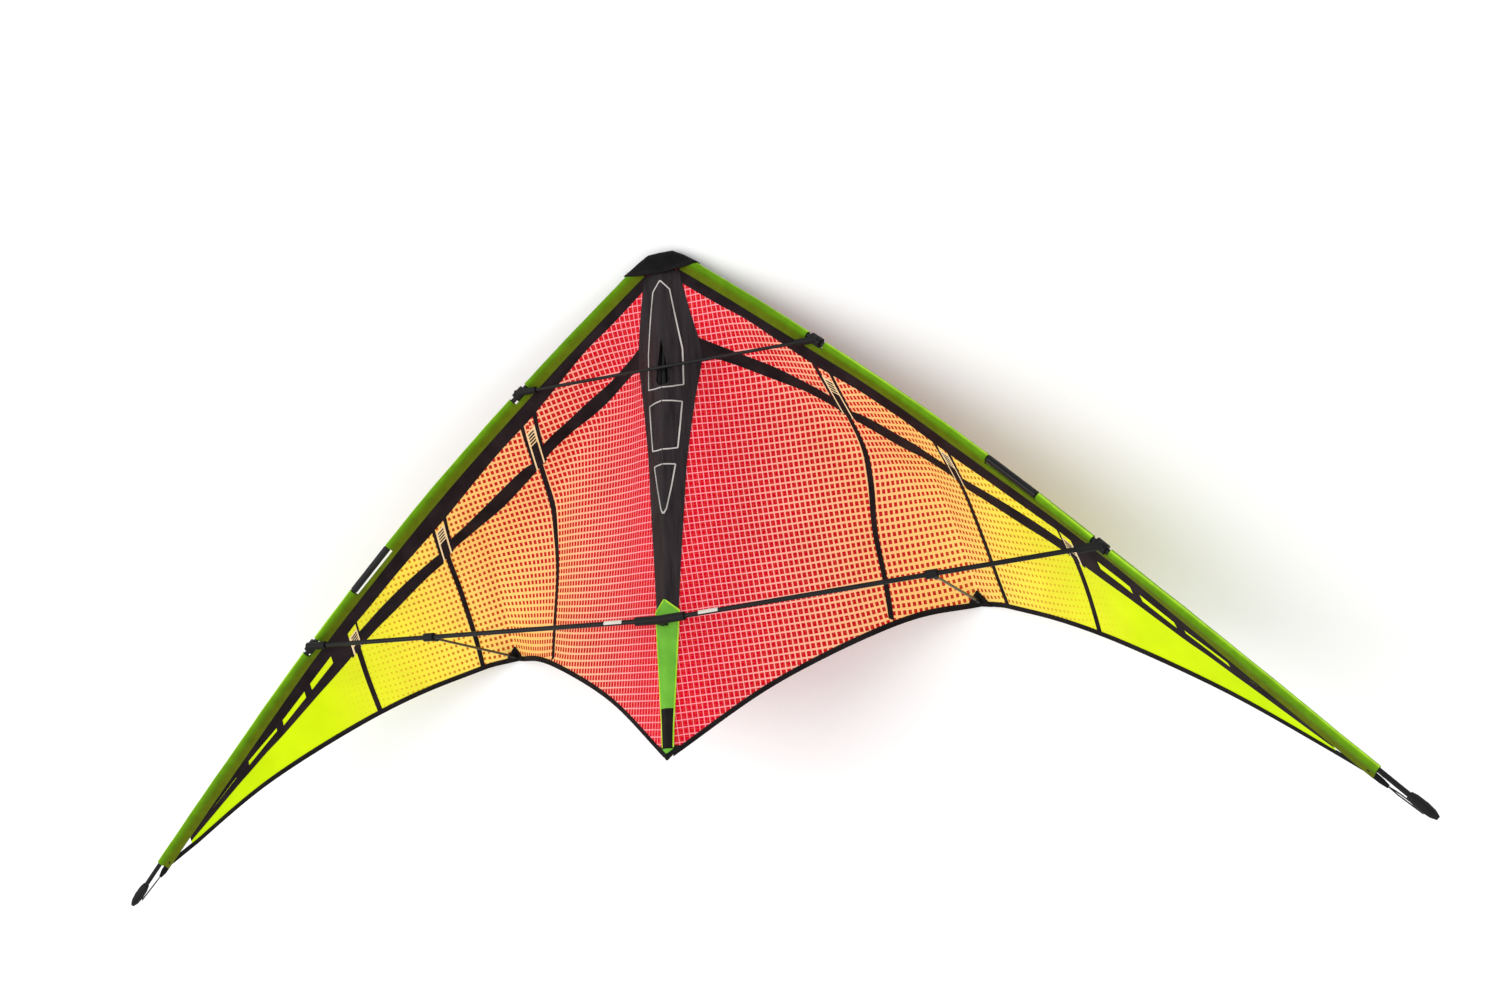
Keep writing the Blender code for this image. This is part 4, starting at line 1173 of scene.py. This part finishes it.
def sleeve_part(mesh, start, end, side, spots):
    """A full length of sleeve between two distances out."""
    grid, normals, cut = [], [], []
    for x in sleeve_xs(start, end):
        centre, first, second = sleeve_frame(x)
        profile = sleeve_profile(x)
        grid.append([mirrored(centre + first * a + second * b, side) for a, b in profile])
        normals.append([mirrored(normal, side) for normal in profile_normals(profile, first, second)])
        arcs = [0.0]
        for near, far in zip(profile, profile[1:]):
            arcs.append(arcs[-1] + math.dist(near, far))
        cut.append([(x, arc - arcs[-1] / 2) for arc in arcs])
    add_mapped(mesh, grid, SLEEVE_WALL, normals, cut, spots)
    return grid


def hem_part(mesh, start, end, side, spots, hem_start):
    """The hem that runs on where the sleeve is cut away."""
    reaches = even(hem_start, SLEEVE_WIDTH, 2)
    grid, normals, cut = [], [], []
    for x in sleeve_xs(start, end):
        centre, first, second = sleeve_frame(x)
        grid.append([mirrored(centre + first * a, side) for a in reaches])
        normals.append([mirrored(second, side)] * len(reaches))
        cut.append([(x, a + HEM_ARC) for a in reaches])
    add_mapped(mesh, grid, 2 * FLANGE_LIFT + SLEEVE_WALL, normals, cut, spots)


def hem_row(reach, face_side, side):
    """A row of stitches along the hem, on the front (1) or on the back (-1)."""
    path, normals = [], []
    for x in even(HEM_ROW_START_X, SLEEVE_END_X - SHORT_OF_END, HEM_ROW_STEPS):
        centre, first, second = sleeve_frame(x)
        outward = second * face_side
        path.append(mirrored(centre + first * reach + outward * (FLANGE_LIFT + SLEEVE_WALL / 2), side))
        normals.append(mirrored(outward, side))
    return path, normals


sleeve_green, tree, shader = new_material("sleeve_cloth")
along, around = cut_axes(tree)
# Bright lime along the rim is a painted highlight; the green darkens towards the hems.
sleeve_green_and_rim_highlight = print_ramp(tree, calc(tree, "ABSOLUTE", around), SLEEVE_RAMP_END, SLEEVE_COLOURS_WITH_RIM_HIGHLIGHT)
mottle = ramp(tree, object_noise(tree, 90.0), ((0.3, 0.86), (0.7, 1.08)))
set_coat(tree, shader, mix_colour(tree, 1.0, sleeve_green_and_rim_highlight, mottle, "MULTIPLY"), 0.6, 0.05)
set_bump(tree, shader, weave_height(tree, along, around, 0.0009), 0.45, 0.00025)

sleeve_pieces = {}
sleeve_stops = [SLEEVE_START_X] + [x for gap in SLEEVE_GAPS for x in gap[:2]] + [SLEEVE_END_X]
for hand, side in SIDES:
    mesh = bmesh.new()
    spots = {}
    rows = []
    for start, end in zip(sleeve_stops[::2], sleeve_stops[1::2]):
        rows += sleeve_part(mesh, start, end, side, spots)
    for start, end, hem_start in SLEEVE_GAPS:
        hem_part(mesh, start, end, side, spots, hem_start)
    map_cut(mesh, spots)
    stands_for = f"leading_edge_sleeve_{hand}"
    sleeve = finish_mesh(f"leading_sleeve_{hand}", mesh, sleeve_green, stands_for)
    hem_rows = [hem_row(reach, face_side, side) for reach in HEM_ROWS for face_side in (1, -1)]
    sewing = stitched_rows(f"sleeve_stitching_{hand}", hem_rows, green_thread)
    sleeve_pieces[hand] = (sleeve, rows, sewing)

# Trailing edge binding
# Black tape folded over the sail's raw edge and sewn down with one row of stitches, from the
# tail to the end of the sleeve.

BINDING_COLOURS = ((0.006, 0.0045, 0.005), (0.017, 0.013, 0.014))
BINDING_HALF = 0.0007
BINDING_FOLD = ((0.0062, 0.75), (0.0035, 1.0), (0.0010, 0.95), (0.0002, 0.6), (0.0, 0.0))
BINDING_PROFILE = [(a, b * BINDING_HALF) for a, b in BINDING_FOLD]
BINDING_PROFILE += [(a, -b) for a, b in reversed(BINDING_PROFILE[:-1])]
BINDING_WALL = 0.0005
BINDING_START = 0.028
BINDING_TURN = 3.90
BINDING_STEPS = 170
TURN_STEPS = 6
INTO_HEM = 0.001
BINDING_ROW = 0.0045
ROW_LIFT = 0.0003


def binding_frame(station):
    """A point of the trailing edge, the direction up the sail and the direction out of its front."""
    foot = sail_point(station, 1.0)
    up = (sail_point(station, 0.97) - foot).normalized()
    before, after = max(station - STATION_STEP, 0.001), station + STATION_STEP
    along = (sail_point(after, 1.0) - sail_point(before, 1.0)).normalized()
    out = up.cross(along).normalized()
    return foot, up, out if out.z > 0 else -out


trailing_frames = [binding_frame(station) for station in even(BINDING_START, BINDING_TURN, BINDING_STEPS)]
foot, up, out = trailing_frames[-1]
centre, inward, _ = sleeve_frame(SLEEVE_END_X - SHORT_OF_END)
sleeve_corner = centre + inward * (SLEEVE_WIDTH - INTO_HEM)
turn_frames = [(foot.lerp(sleeve_corner, k / TURN_STEPS), up, out) for k in range(1, TURN_STEPS + 1)]

binding_black = tape_material("edge_binding", BINDING_COLOURS, 0.0012, 0.7)
for hand, side in SIDES:
    grid, normals = [], []
    for foot, up, out in trailing_frames + turn_frames:
        grid.append([mirrored(foot + up * a + out * b, side) for a, b in BINDING_PROFILE])
        normals.append([mirrored(-normal, side) for normal in profile_normals(BINDING_PROFILE, up, out)])
    name, stands_for = f"edge_binding_{hand}", f"trailing_edge_binding_{hand}"
    binding = cloth(name, grid, BINDING_WALL, binding_black, stands_for, normals=normals)
    rows = []
    for face_side in (1, -1):
        lift = face_side * (BINDING_HALF + ROW_LIFT)
        path = [mirrored(foot + up * BINDING_ROW + out * lift, side) for foot, up, out in trailing_frames]
        rows.append((path, [mirrored(out * face_side, side) for _, _, out in trailing_frames]))
    sewing = stitched_rows(f"binding_stitching_{hand}", rows, black_thread)
    declare_cloth(grid)

# Centre panel
# A dark satin panel covers the crest from the nose to the tee. It has a teardrop opening
# where the upper spreader crosses the spine, and grey piping in three shapes down its middle.
# A shape is given by its right half, from its top to its bottom.

CENTRE_TOP_DROP = 0.006
CENTRE_END_DROP = 0.722
CENTRE_LIFT = 0.0007
CENTRE_THICKNESS = 0.0007
CENTRE_ROWS = (0.0016, 0.0036)
CENTRE_ROW_START = CENTRE_TOP_DROP + 0.02
CENTRE_ROW_END = CENTRE_END_DROP - 0.01
SATIN_DARK = (0.008, 0.005, 0.0065)
# The lighter satin colour is a painted sheen highlight.
SATIN_SHEEN_HIGHLIGHT = (0.027, 0.019, 0.022)
SATIN_STREAKS = (220, 9, 60)
CREST_Y = -0.005
CREST_LENGTH = 0.564
CREST_WIDTH = 0.19
TEARDROP_APEX_Y = -0.0925
TEARDROP_ROUND_Y = -0.1385
TEARDROP_RADIUS = 0.0085
TEARDROP_CUT = (-0.03, 0.01)
PIPING_COLOURS = ((0.34, 0.32, 0.30), (0.60, 0.57, 0.54))
PIPING_WIDTH = 0.0014
PIPING_THICKNESS = 0.0006
PIPING_LIFT = CENTRE_LIFT + CENTRE_THICKNESS / 2 + 0.0002
PIPING_STEP = 0.004
PIPING_SHAPES = (
    (
        (0.0, -0.0225), (0.0104, -0.0340), (0.0155, -0.067), (0.0210, -0.105), (0.0215, -0.1470),
        (0.0110, -0.1490), (0.0, -0.1497),
    ),
    (
        (0.0, -0.1655), (0.0100, -0.1658), (0.0200, -0.1670), (0.0178, -0.194), (0.0152, -0.2208),
        (0.0076, -0.2217), (0.0, -0.2220),
    ),
    (
        (0.0, -0.2392), (0.0064, -0.2392), (0.0127, -0.2397), (0.0085, -0.264), (0.0030, -0.290),
        (0.0, -0.2960),
    ),
)


def crest_drop(y):
    """The drop of the crest's point at this height."""
    return (CREST_Y - y) / CREST_LENGTH


def crest_spot(x, y):
    """The station and the drop of the surface's point at this x and y, near the crest."""
    station, drop = x / CREST_WIDTH, crest_drop(y)
    step = 0.001
    for _ in range(8):
        here = sail_point(station, drop)
        across = (sail_point(station + step, drop) - here) / step
        down = (sail_point(station, drop + step) - here) / step
        size = across.x * down.y - across.y * down.x
        dx, dy = x - here.x, y - here.y
        station = max(station + (down.y * dx - down.x * dy) / size, 0.0)
        drop += (across.x * dy - across.y * dx) / size
    return station, drop


def crest_point(x, y, lift=0.0):
    """The point of the centre panel's front at this x and y, for either side."""
    return Vector((x, y, sail_point(*crest_spot(abs(x), y)).z + lift))


def centre_grid(first, last, rows, half_columns=12):
    """A grid over the crest between two drops, as wide as the centre panels."""
    grid = []
    for drop in even(first, last, rows):
        edge = centre_station(drop)
        columns = range(-half_columns, half_columns + 1)
        grid.append([sail_point(edge * k / half_columns, drop) for k in columns])
    return grid


def teardrop_cutter():
    """An upright block with the teardrop's outline, through the panel."""
    outline = []
    for angle in even(math.pi, 2 * math.pi, 24):
        x, y = TEARDROP_RADIUS * math.cos(angle), TEARDROP_RADIUS * math.sin(angle)
        outline.append((x, TEARDROP_ROUND_Y + y))
    outline.append((0.0, TEARDROP_APEX_Y))
    mesh = bmesh.new()
    low, high = [[mesh.verts.new(LAY_DOWN @ Vector((x, y, z))) for x, y in outline] for z in TEARDROP_CUT]
    for k in range(len(outline)):
        after = (k + 1) % len(outline)
        mesh.faces.new((low[k], low[after], high[after], high[k]))
    mesh.faces.new(list(reversed(low)))
    mesh.faces.new(high)
    bmesh.ops.recalc_face_normals(mesh, faces=mesh.faces)
    data = bpy.data.meshes.new("teardrop_cutter")
    mesh.to_mesh(data)
    mesh.free()
    cutter = bpy.data.objects.new("teardrop_cutter", data)
    bpy.context.collection.objects.link(cutter)
    return cutter


def add_piping(mesh, start, end):
    """One straight length of piping between two places on the crest."""
    length = math.dist(start, end)
    across = Vector((start[1] - end[1], end[0] - start[0])) / length
    rows = []
    for share in even(0, 1, max(1, round(length / PIPING_STEP))):
        x, y = Vector(start).lerp(Vector(end), share)
        offsets = (-PIPING_WIDTH / 2, 0, PIPING_WIDTH / 2)
        rows.append([crest_point(x + across.x * w, y + across.y * w) for w in offsets])
    add_sheet(mesh, rows, PIPING_THICKNESS, PIPING_LIFT)


def centre_row(inset, side):
    """A row of stitches down one edge of the centre panel."""
    path, normals = [], []
    for drop in even(CENTRE_ROW_START, CENTRE_ROW_END, 120):
        station = centre_station(drop, inset)
        normal = sail_normal(sail_point, station, drop, 0.005)
        path.append(mirrored(sail_point(station, drop) + normal * (CENTRE_LIFT + CENTRE_THICKNESS / 2), side))
        normals.append(mirrored(normal, side))
    return path, normals


satin, tree, shader = new_material("centre_satin")
# Lighter streaks down the panel are a painted sheen highlight; the same streaks vary the roughness.
sheen_streaks = object_noise(tree, 1.0, 3.0, SATIN_STREAKS)
painted_sheen_colour = ramp(tree, sheen_streaks, ((0.3, SATIN_DARK), (0.72, SATIN_SHEEN_HIGHLIGHT)))
set_coat(tree, shader, painted_sheen_colour, map_range(tree, sheen_streaks, 0.0, 1.0, 0.36, 0.56), HARD_SPECULAR)
set_bump(tree, shader, weave_height(tree, *cut_axes(tree), 0.0007), 0.35, 0.00018)

centre = centre_grid(CENTRE_TOP_DROP, CENTRE_END_DROP, 120)
centre_panel = cloth("centre_panel", centre, CENTRE_THICKNESS, satin, "spine_panel",
                     CENTRE_LIFT)
cutter = teardrop_cutter()
deselect_all()
bpy.context.view_layer.objects.active = centre_panel
centre_panel.select_set(True)
opening = centre_panel.modifiers.new("teardrop", "BOOLEAN")
opening.operation = "DIFFERENCE"
opening.object = cutter
bpy.ops.object.modifier_apply(modifier="teardrop")
bpy.data.objects.remove(cutter)

grey_piping = tape_material("grey_piping", PIPING_COLOURS, 0.0008, 0.45)
mesh = bmesh.new()
for shape in PIPING_SHAPES:
    outline = list(shape) + [(-x, y) for x, y in reversed(shape[1:-1])]
    for start, end in zip(outline, outline[1:] + outline[:1]):
        add_piping(mesh, start, end)
piping = finish_mesh("centre_piping", mesh, grey_piping)
rows = [centre_row(inset, sign) for sign in (-1, 1) for inset in CENTRE_ROWS]
centre_sewing = stitched_rows("centre_stitching", rows, black_thread)
declare_cloth(centre)

# Tail
# A bright green panel with piped edges runs from the tee to the tail; its pointed top lies
# over the dark panel. Below it a black pocket holds the spine's end, over a corner patch.

TAIL_POINT_Y = -0.3925
TAIL_SHOULDER_Y = -0.4045
TAIL_END_Y = -0.5125
POCKET_END_Y = -0.5545
PIPED_EDGE = 0.0013
TAIL_LIFT = 0.0013
TAIL_THICKNESS = 0.0006
TAIL_PIPING_LIFT = TAIL_LIFT + 0.0002
TAIL_PIPING_THICKNESS = 0.0010
TAIL_ROW_INSET = 0.0026
TAIL_ROW_START_Y = -0.4085
TAIL_ROW_LENGTH = 0.1
POCKET_THICKNESS = 0.0010
POCKET_ROW = (
    (-0.0042, -0.5155), (0.0042, -0.5155), (0.0036, -0.5520), (-0.0036, -0.5520), (-0.0042, -0.5155),
    (0.0036, -0.5520),
)
CORNER_TOP_Y = POCKET_END_Y + 0.002
CORNER_END_Y = -0.5685
CORNER_HALF = 0.0135
CORNER_TIP = 0.0006
CORNER_THICKNESS = 0.0022
CORNER_HEIGHT = 0.0125
MARK_TOP_Y = -0.5560
MARK_END_Y = -0.5610
MARK_HALF = 0.0055
MARK_TIP = 0.0003
MARK_LIFT = 0.0014
TAIL_COLOURS = ((0.13, 0.42, 0.035), (0.20, 0.56, 0.055))
PIPED_EDGE_COLOURS = ((0.30, 0.58, 0.02), (0.48, 0.78, 0.05))
POCKET_COLOURS = ((0.006, 0.005, 0.005), (0.017, 0.014, 0.014))


def half_width_at(y):
    """The centre panels' half width at this height."""
    return interpolate(CENTRE_HALF_WIDTHS, crest_drop(y))


def crest_grid(top, shoulder, bottom, rows, columns=12, inset=0.0):
    """A grid over the crest whose top edge falls from its middle to its sides."""
    grid = []
    for i in range(rows + 1):
        row = []
        for share in even(-1, 1, columns):
            start = top + (shoulder - top) * abs(share)
            y = start + (bottom - start) * i / rows
            row.append(crest_point(share * (half_width_at(y) - inset), y))
        grid.append(row)
    return grid


def pointed_grid(top, bottom, half, tip, rows, half_columns):
    """A three-cornered grid over the crest, whose width falls from top to bottom."""
    grid = []
    for i, y in enumerate(even(top, bottom, rows)):
        reach = half * (1 - i / rows) + tip
        grid.append([crest_point(reach * share, y) for share in even(-1, 1, 2 * half_columns)])
    return grid


def add_tail_piping(mesh, sign):
    """The piped edge of one side, from the tail panel's point down to the pocket's end."""
    shoulder = half_width_at(TAIL_SHOULDER_Y)
    slope = list(zip(even(0.0, shoulder, 5), even(TAIL_POINT_Y, TAIL_SHOULDER_Y, 5)))
    flank = [(half_width_at(y), y) for y in even(TAIL_SHOULDER_Y, POCKET_END_Y, 40)]
    inner = [(max(x - PIPED_EDGE, 0.0), y - PIPED_EDGE) for x, y in slope]
    inner += [(x - PIPED_EDGE, y) for x, y in flank[1:]]
    grid = []
    for places in zip(slope + flank[1:], inner):
        grid.append([crest_point(sign * x, y) for x, y in places])
    add_sheet(mesh, grid, TAIL_PIPING_THICKNESS, TAIL_PIPING_LIFT)


green_tail = tape_material("tail_cloth", TAIL_COLOURS, 0.0010, 0.5)
piped_green = tape_material("piped_edge", PIPED_EDGE_COLOURS, 0.0008, 0.5)
pocket_black = tape_material("pocket_cloth", POCKET_COLOURS, 0.0011, 0.6)
grid = crest_grid(TAIL_POINT_Y, TAIL_SHOULDER_Y, TAIL_END_Y, 48)
tail = cloth("tail_cloth", grid, TAIL_THICKNESS, green_tail, "tail_panel", TAIL_LIFT)
mesh = bmesh.new()
for sign in (-1, 1):
    add_tail_piping(mesh, sign)
tail_edges = finish_mesh("tail_piping", mesh, piped_green)
rows = []
for sign in (-1, 1):
    heights = even(TAIL_ROW_START_Y, TAIL_ROW_START_Y - TAIL_ROW_LENGTH, 30)
    lift = TAIL_LIFT + TAIL_THICKNESS / 2
    path = [crest_point(sign * (half_width_at(y) - TAIL_ROW_INSET), y, lift) for y in heights]
    rows.append(front_row(path))
tail_sewing = stitched_rows("tail_stitching", rows, green_thread)
declare_cloth(grid)

grid = crest_grid(TAIL_END_Y, TAIL_END_Y, POCKET_END_Y, 20, 8, PIPED_EDGE)
pocket = cloth("tail_pocket_cloth", grid, POCKET_THICKNESS, pocket_black, "tail_pocket",
               TAIL_LIFT)
path = []
for (x0, y0), (x1, y1) in zip(POCKET_ROW, POCKET_ROW[1:]):
    spots = zip(even(x0, x1, 6)[:-1], even(y0, y1, 6)[:-1])
    path += [crest_point(x, y, TAIL_LIFT + POCKET_THICKNESS / 2) for x, y in spots]
pocket_sewing = stitched_rows("pocket_stitching", [front_row(path)], black_thread)
declare_cloth(grid)

grid = pointed_grid(CORNER_TOP_Y, CORNER_END_Y, CORNER_HALF, CORNER_TIP, 8, 4)
corner = cloth("tail_corner", grid, CORNER_THICKNESS, pocket_black, "tail_patch")
mark_grid = pointed_grid(MARK_TOP_Y, MARK_END_Y, MARK_HALF, MARK_TIP, 4, 2)
mark = cloth("tail_mark", mark_grid, TAIL_THICKNESS, green_tail, lift=MARK_LIFT)
declare_cloth(grid, height=CORNER_HEIGHT)

# Spine channel
# On the back, a black cloth channel holds the spine, open at the tee. It is one folded strip
# with a flange on each side, sewn to the panels.

SPINE_Z = -0.0072
CHANNEL_RADIUS = 0.0036
CHANNEL_WALL = 0.0005
CHANNEL_FLANGE = (0.0100, 0.0078, 0.0056)
CHANNEL_LIFT = -0.0011
CHANNEL_TURNS = range(340, 279, -20)
CHANNEL_PARTS = (("upper", 0.012, 0.708), ("lower", 0.762, 0.978))


def channel_section(drop):
    """The channel's strip at one drop: a flange, round the spine, a flange."""
    y = sail_point(0.0, drop).y
    right = [crest_point(x, y, CHANNEL_LIFT) for x in CHANNEL_FLANGE]
    for turn in CHANNEL_TURNS:
        angle = math.radians(turn)
        height = SPINE_Z + CHANNEL_RADIUS * math.sin(angle)
        right.append(Vector((CHANNEL_RADIUS * math.cos(angle), y, height)))
    bottom = Vector((0.0, y, SPINE_Z - CHANNEL_RADIUS))
    return right + [bottom] + [mirrored(p, -1) for p in reversed(right)]


for part, first, last in CHANNEL_PARTS:
    grid, normals = [], []
    for drop in even(first, last, 60):
        section = channel_section(drop)
        grid.append(section)
        flat_section = [(p.x, p.z) for p in section]
        normals.append(profile_normals(flat_section, Vector((1, 0, 0)), FRONT))
    name, stands_for = f"spine_channel_{part}", f"spine_sleeve_{part}"
    channel = cloth(name, grid, CHANNEL_WALL, pocket_black, stands_for, normals=normals)
    declare_cloth(grid)

# Nose cap
# Heavy black webbing folded over the ends of both leading edges and the spine, and sewn
# along its open lower edge.

NOSE_HALF = 0.0470
NOSE_TOP = ((0.0, 0.0121), (0.0155, 0.0116), (0.0300, 0.0036), (NOSE_HALF, -0.0080))
NOSE_FOOT = ((0.0, -0.0143), (0.026, -0.0126), (0.0400, -0.0106), (NOSE_HALF, -0.0088))
NOSE_FRONT_Z = 0.0018
NOSE_BACK_Z = -0.0108
NOSE_MIDDLE_Z = (NOSE_FRONT_Z + NOSE_BACK_Z) / 2
NOSE_DEPTH = (NOSE_FRONT_Z - NOSE_BACK_Z) / 2
NOSE_THINNING = 0.35
NOSE_BEND = 0.006
NOSE_WALL = 0.0011
NOSE_ROWS = (0.0018, 0.0040)
NOSE_ROW_HALF = 0.043
WEBBING_COLOURS = ((0.0030, 0.0028, 0.0030), (0.010, 0.009, 0.0095))


def nose_loop(x):
    """The folded webbing at this x: up its front, over the fold and down its back."""
    top, foot = interpolate(NOSE_TOP, abs(x)), interpolate(NOSE_FOOT, abs(x))
    depth = NOSE_DEPTH * (1 - NOSE_THINNING * (abs(x) / NOSE_HALF) ** 3)
    bend = min(NOSE_BEND, (top - foot) * 0.5)
    heights = even(foot, top - bend, 6)
    loop = [Vector((x, y, NOSE_MIDDLE_Z + depth)) for y in heights]
    normals = [FRONT] * len(heights)
    for angle in even(math.pi / 2, -math.pi / 2, 8)[1:-1]:
        rise, out = math.cos(angle), math.sin(angle)
        loop.append(Vector((x, top - bend + bend * rise, NOSE_MIDDLE_Z + depth * out)))
        normals.append(Vector((0, rise, out)))
    loop += [Vector((x, y, NOSE_MIDDLE_Z - depth)) for y in reversed(heights)]
    return loop, normals + [-FRONT] * len(heights)


grid, normals = [], []
for x in even(-NOSE_HALF, NOSE_HALF, 48):
    loop, facing = nose_loop(x)
    grid.append(loop)
    normals.append(facing)
webbing = tape_material("nose_webbing", WEBBING_COLOURS, 0.0016, 0.65, 0.0005)
nose = cloth("nose_cap_cloth", grid, NOSE_WALL, webbing, "nose_cap", normals=normals)
rows = []
for inset in NOSE_ROWS:
    path = []
    for x in even(-NOSE_ROW_HALF, NOSE_ROW_HALF, 60):
        path.append(Vector((x, interpolate(NOSE_FOOT, abs(x)) + inset, NOSE_FRONT_Z + NOSE_WALL / 2)))
    rows.append(front_row(path))
nose_sewing = stitched_rows("nose_stitching", rows, black_thread)
declare_cloth(grid)

# Standoff patches
# Three-cornered patches of heavy black cloth at the trailing edge take the standoffs' push.
# Each is sewn to the sail with a row of stitches down both of its sides.

PATCH_HALF_STATION = 0.14
PATCH_TIP_SHARE = 0.06
PATCH_HEIGHT = 0.021
PATCH_THICKNESS = 0.0014
PATCH_OVER_HEM = 0.0005
PATCH_LIFT = 0.0011
PATCH_ROW = (0.12, 0.98)
PATCH_ROW_INSET = 0.018


def patch_half(share):
    """Half the patch's width, in stations, this share of the way down it."""
    return PATCH_HALF_STATION * (PATCH_TIP_SHARE + (1 - PATCH_TIP_SHARE) * share)


def patch_place(station, share):
    """The station and the distance of a place this share of the way down the patch."""
    return station, rib_end(station)[2] - PATCH_HEIGHT * (1 - share)


for hand, side in SIDES:
    grid = []
    for share in even(0, 1, 12):
        half = patch_half(share)
        row = []
        for station in even(STANDOFF_STATION - half, STANDOFF_STATION + half, 12):
            station, distance = patch_place(station, share)
            row.append(mirrored(down_rib(station, distance - PATCH_OVER_HEM), side))
        grid.append(row)
    name, stands_for = f"corner_patch_{hand}", f"standoff_patch_{hand}"
    patch = cloth(name, grid, PATCH_THICKNESS, pocket_black, stands_for, PATCH_LIFT)
    rows = []
    for sign in (-1, 1):
        line = []
        for share in even(*PATCH_ROW, 8):
            station = STANDOFF_STATION + sign * (patch_half(share) - PATCH_ROW_INSET)
            line.append(patch_place(station, share))
        rows.append(sail_row(line, side, PATCH_LIFT + PATCH_THICKNESS / 2))
    sewing = stitched_rows(f"patch_stitching_{hand}", rows, black_thread)
    declare_cloth(grid,
                  height=PATCH_HEIGHT)

# Tip tensioners
# A webbing tab is sewn to the end of each sleeve, and an elastic loop from it hooks over the
# nock on the rod's end and pulls the sleeve taut. The tab's shape gives its width at shares
# of its length.

NOCK_X = 0.775
NOCK_MIDDLE_RADIUS = 0.0056
TAB_LENGTH = 0.016
TAB_LAP = 0.004
TAB_WIDTH = 0.007
TAB_THICKNESS = 0.0016
TAB_SHAPE = ((0.0, 1.0), (0.55, 1.0), (1.0, 0.5))
ELASTIC_RADIUS = 0.0007
ELASTIC_SPREAD = 0.0014
ELASTIC_START = TAB_LENGTH - 0.001
ELASTIC_END = 0.010
ELASTIC_COLOURS = ((0.014, 0.013, 0.013), (0.05, 0.046, 0.044))


def tube_between(mesh, path, radius, sides=10):
    """A round closed tube along a path of points."""
    rings = []
    first = None
    for k, point in enumerate(path):
        along = (path[min(k + 1, len(path) - 1)] - path[max(k - 1, 0)]).normalized()
        if first is None:
            first = along.orthogonal().normalized()
        else:
            first = (first - along * first.dot(along)).normalized()
        second = along.cross(first)
        ring = []
        for j in range(sides):
            angle = 2 * math.pi * j / sides
            spoke = first * math.cos(angle) + second * math.sin(angle)
            ring.append(mesh.verts.new(LAY_DOWN @ (point + spoke * radius)))
        rings.append(ring)
    for a, b in zip(rings, rings[1:]):
        for j in range(sides):
            after = (j + 1) % sides
            face = mesh.faces.new((a[j], a[after], b[after], b[j]))
            face.smooth = True
    mesh.faces.new(list(reversed(rings[0])))
    mesh.faces.new(rings[-1])


elastic_black = worn_material("elastic_cord", ELASTIC_COLOURS, (0.6, 0.8), 2200.0, 0.0002)
for hand, side in SIDES:
    out = leading_direction(SLEEVE_END_X)
    across = sleeve_inward(SLEEVE_END_X).normalized()
    up = out.cross(across)
    up = up if up.z > 0 else -up
    hem = leading_edge(SLEEVE_END_X) + sleeve_inward(SLEEVE_END_X) - across * TAB_WIDTH / 2
    grid = []
    for share in even(0, 1, 14):
        reach = hem + out * (-TAB_LAP + (TAB_LENGTH + TAB_LAP) * share)
        width = across * TAB_WIDTH * interpolate(TAB_SHAPE, share)
        grid.append([mirrored(reach + width * place, side) for place in even(-0.5, 0.5, 6)])
    tab = cloth(f"tip_webbing_{hand}", grid, TAB_THICKNESS, webbing, f"tip_tab_{hand}")
    sleeve, sleeve_grid, sewing = sleeve_pieces[hand]
    declare_cloth(sleeve_grid)
    beside_nock = sleeve_inward(NOCK_X).normalized() * (NOCK_MIDDLE_RADIUS + ELASTIC_RADIUS)
    start = hem + out * ELASTIC_START
    end = leading_edge(NOCK_X) - leading_direction(NOCK_X) * ELASTIC_END + beside_nock
    mesh = bmesh.new()
    for spread in (-1, 1):
        path = []
        for t in range(11):
            apart = up * spread * ELASTIC_SPREAD * min(1, t / 3)
            path.append(mirrored(start.lerp(end, t / 10) + apart, side))
        tube_between(mesh, path, ELASTIC_RADIUS)
    finish_mesh(f"tip_elastic_loop_{hand}", mesh, elastic_black, f"tip_elastic_{hand}")
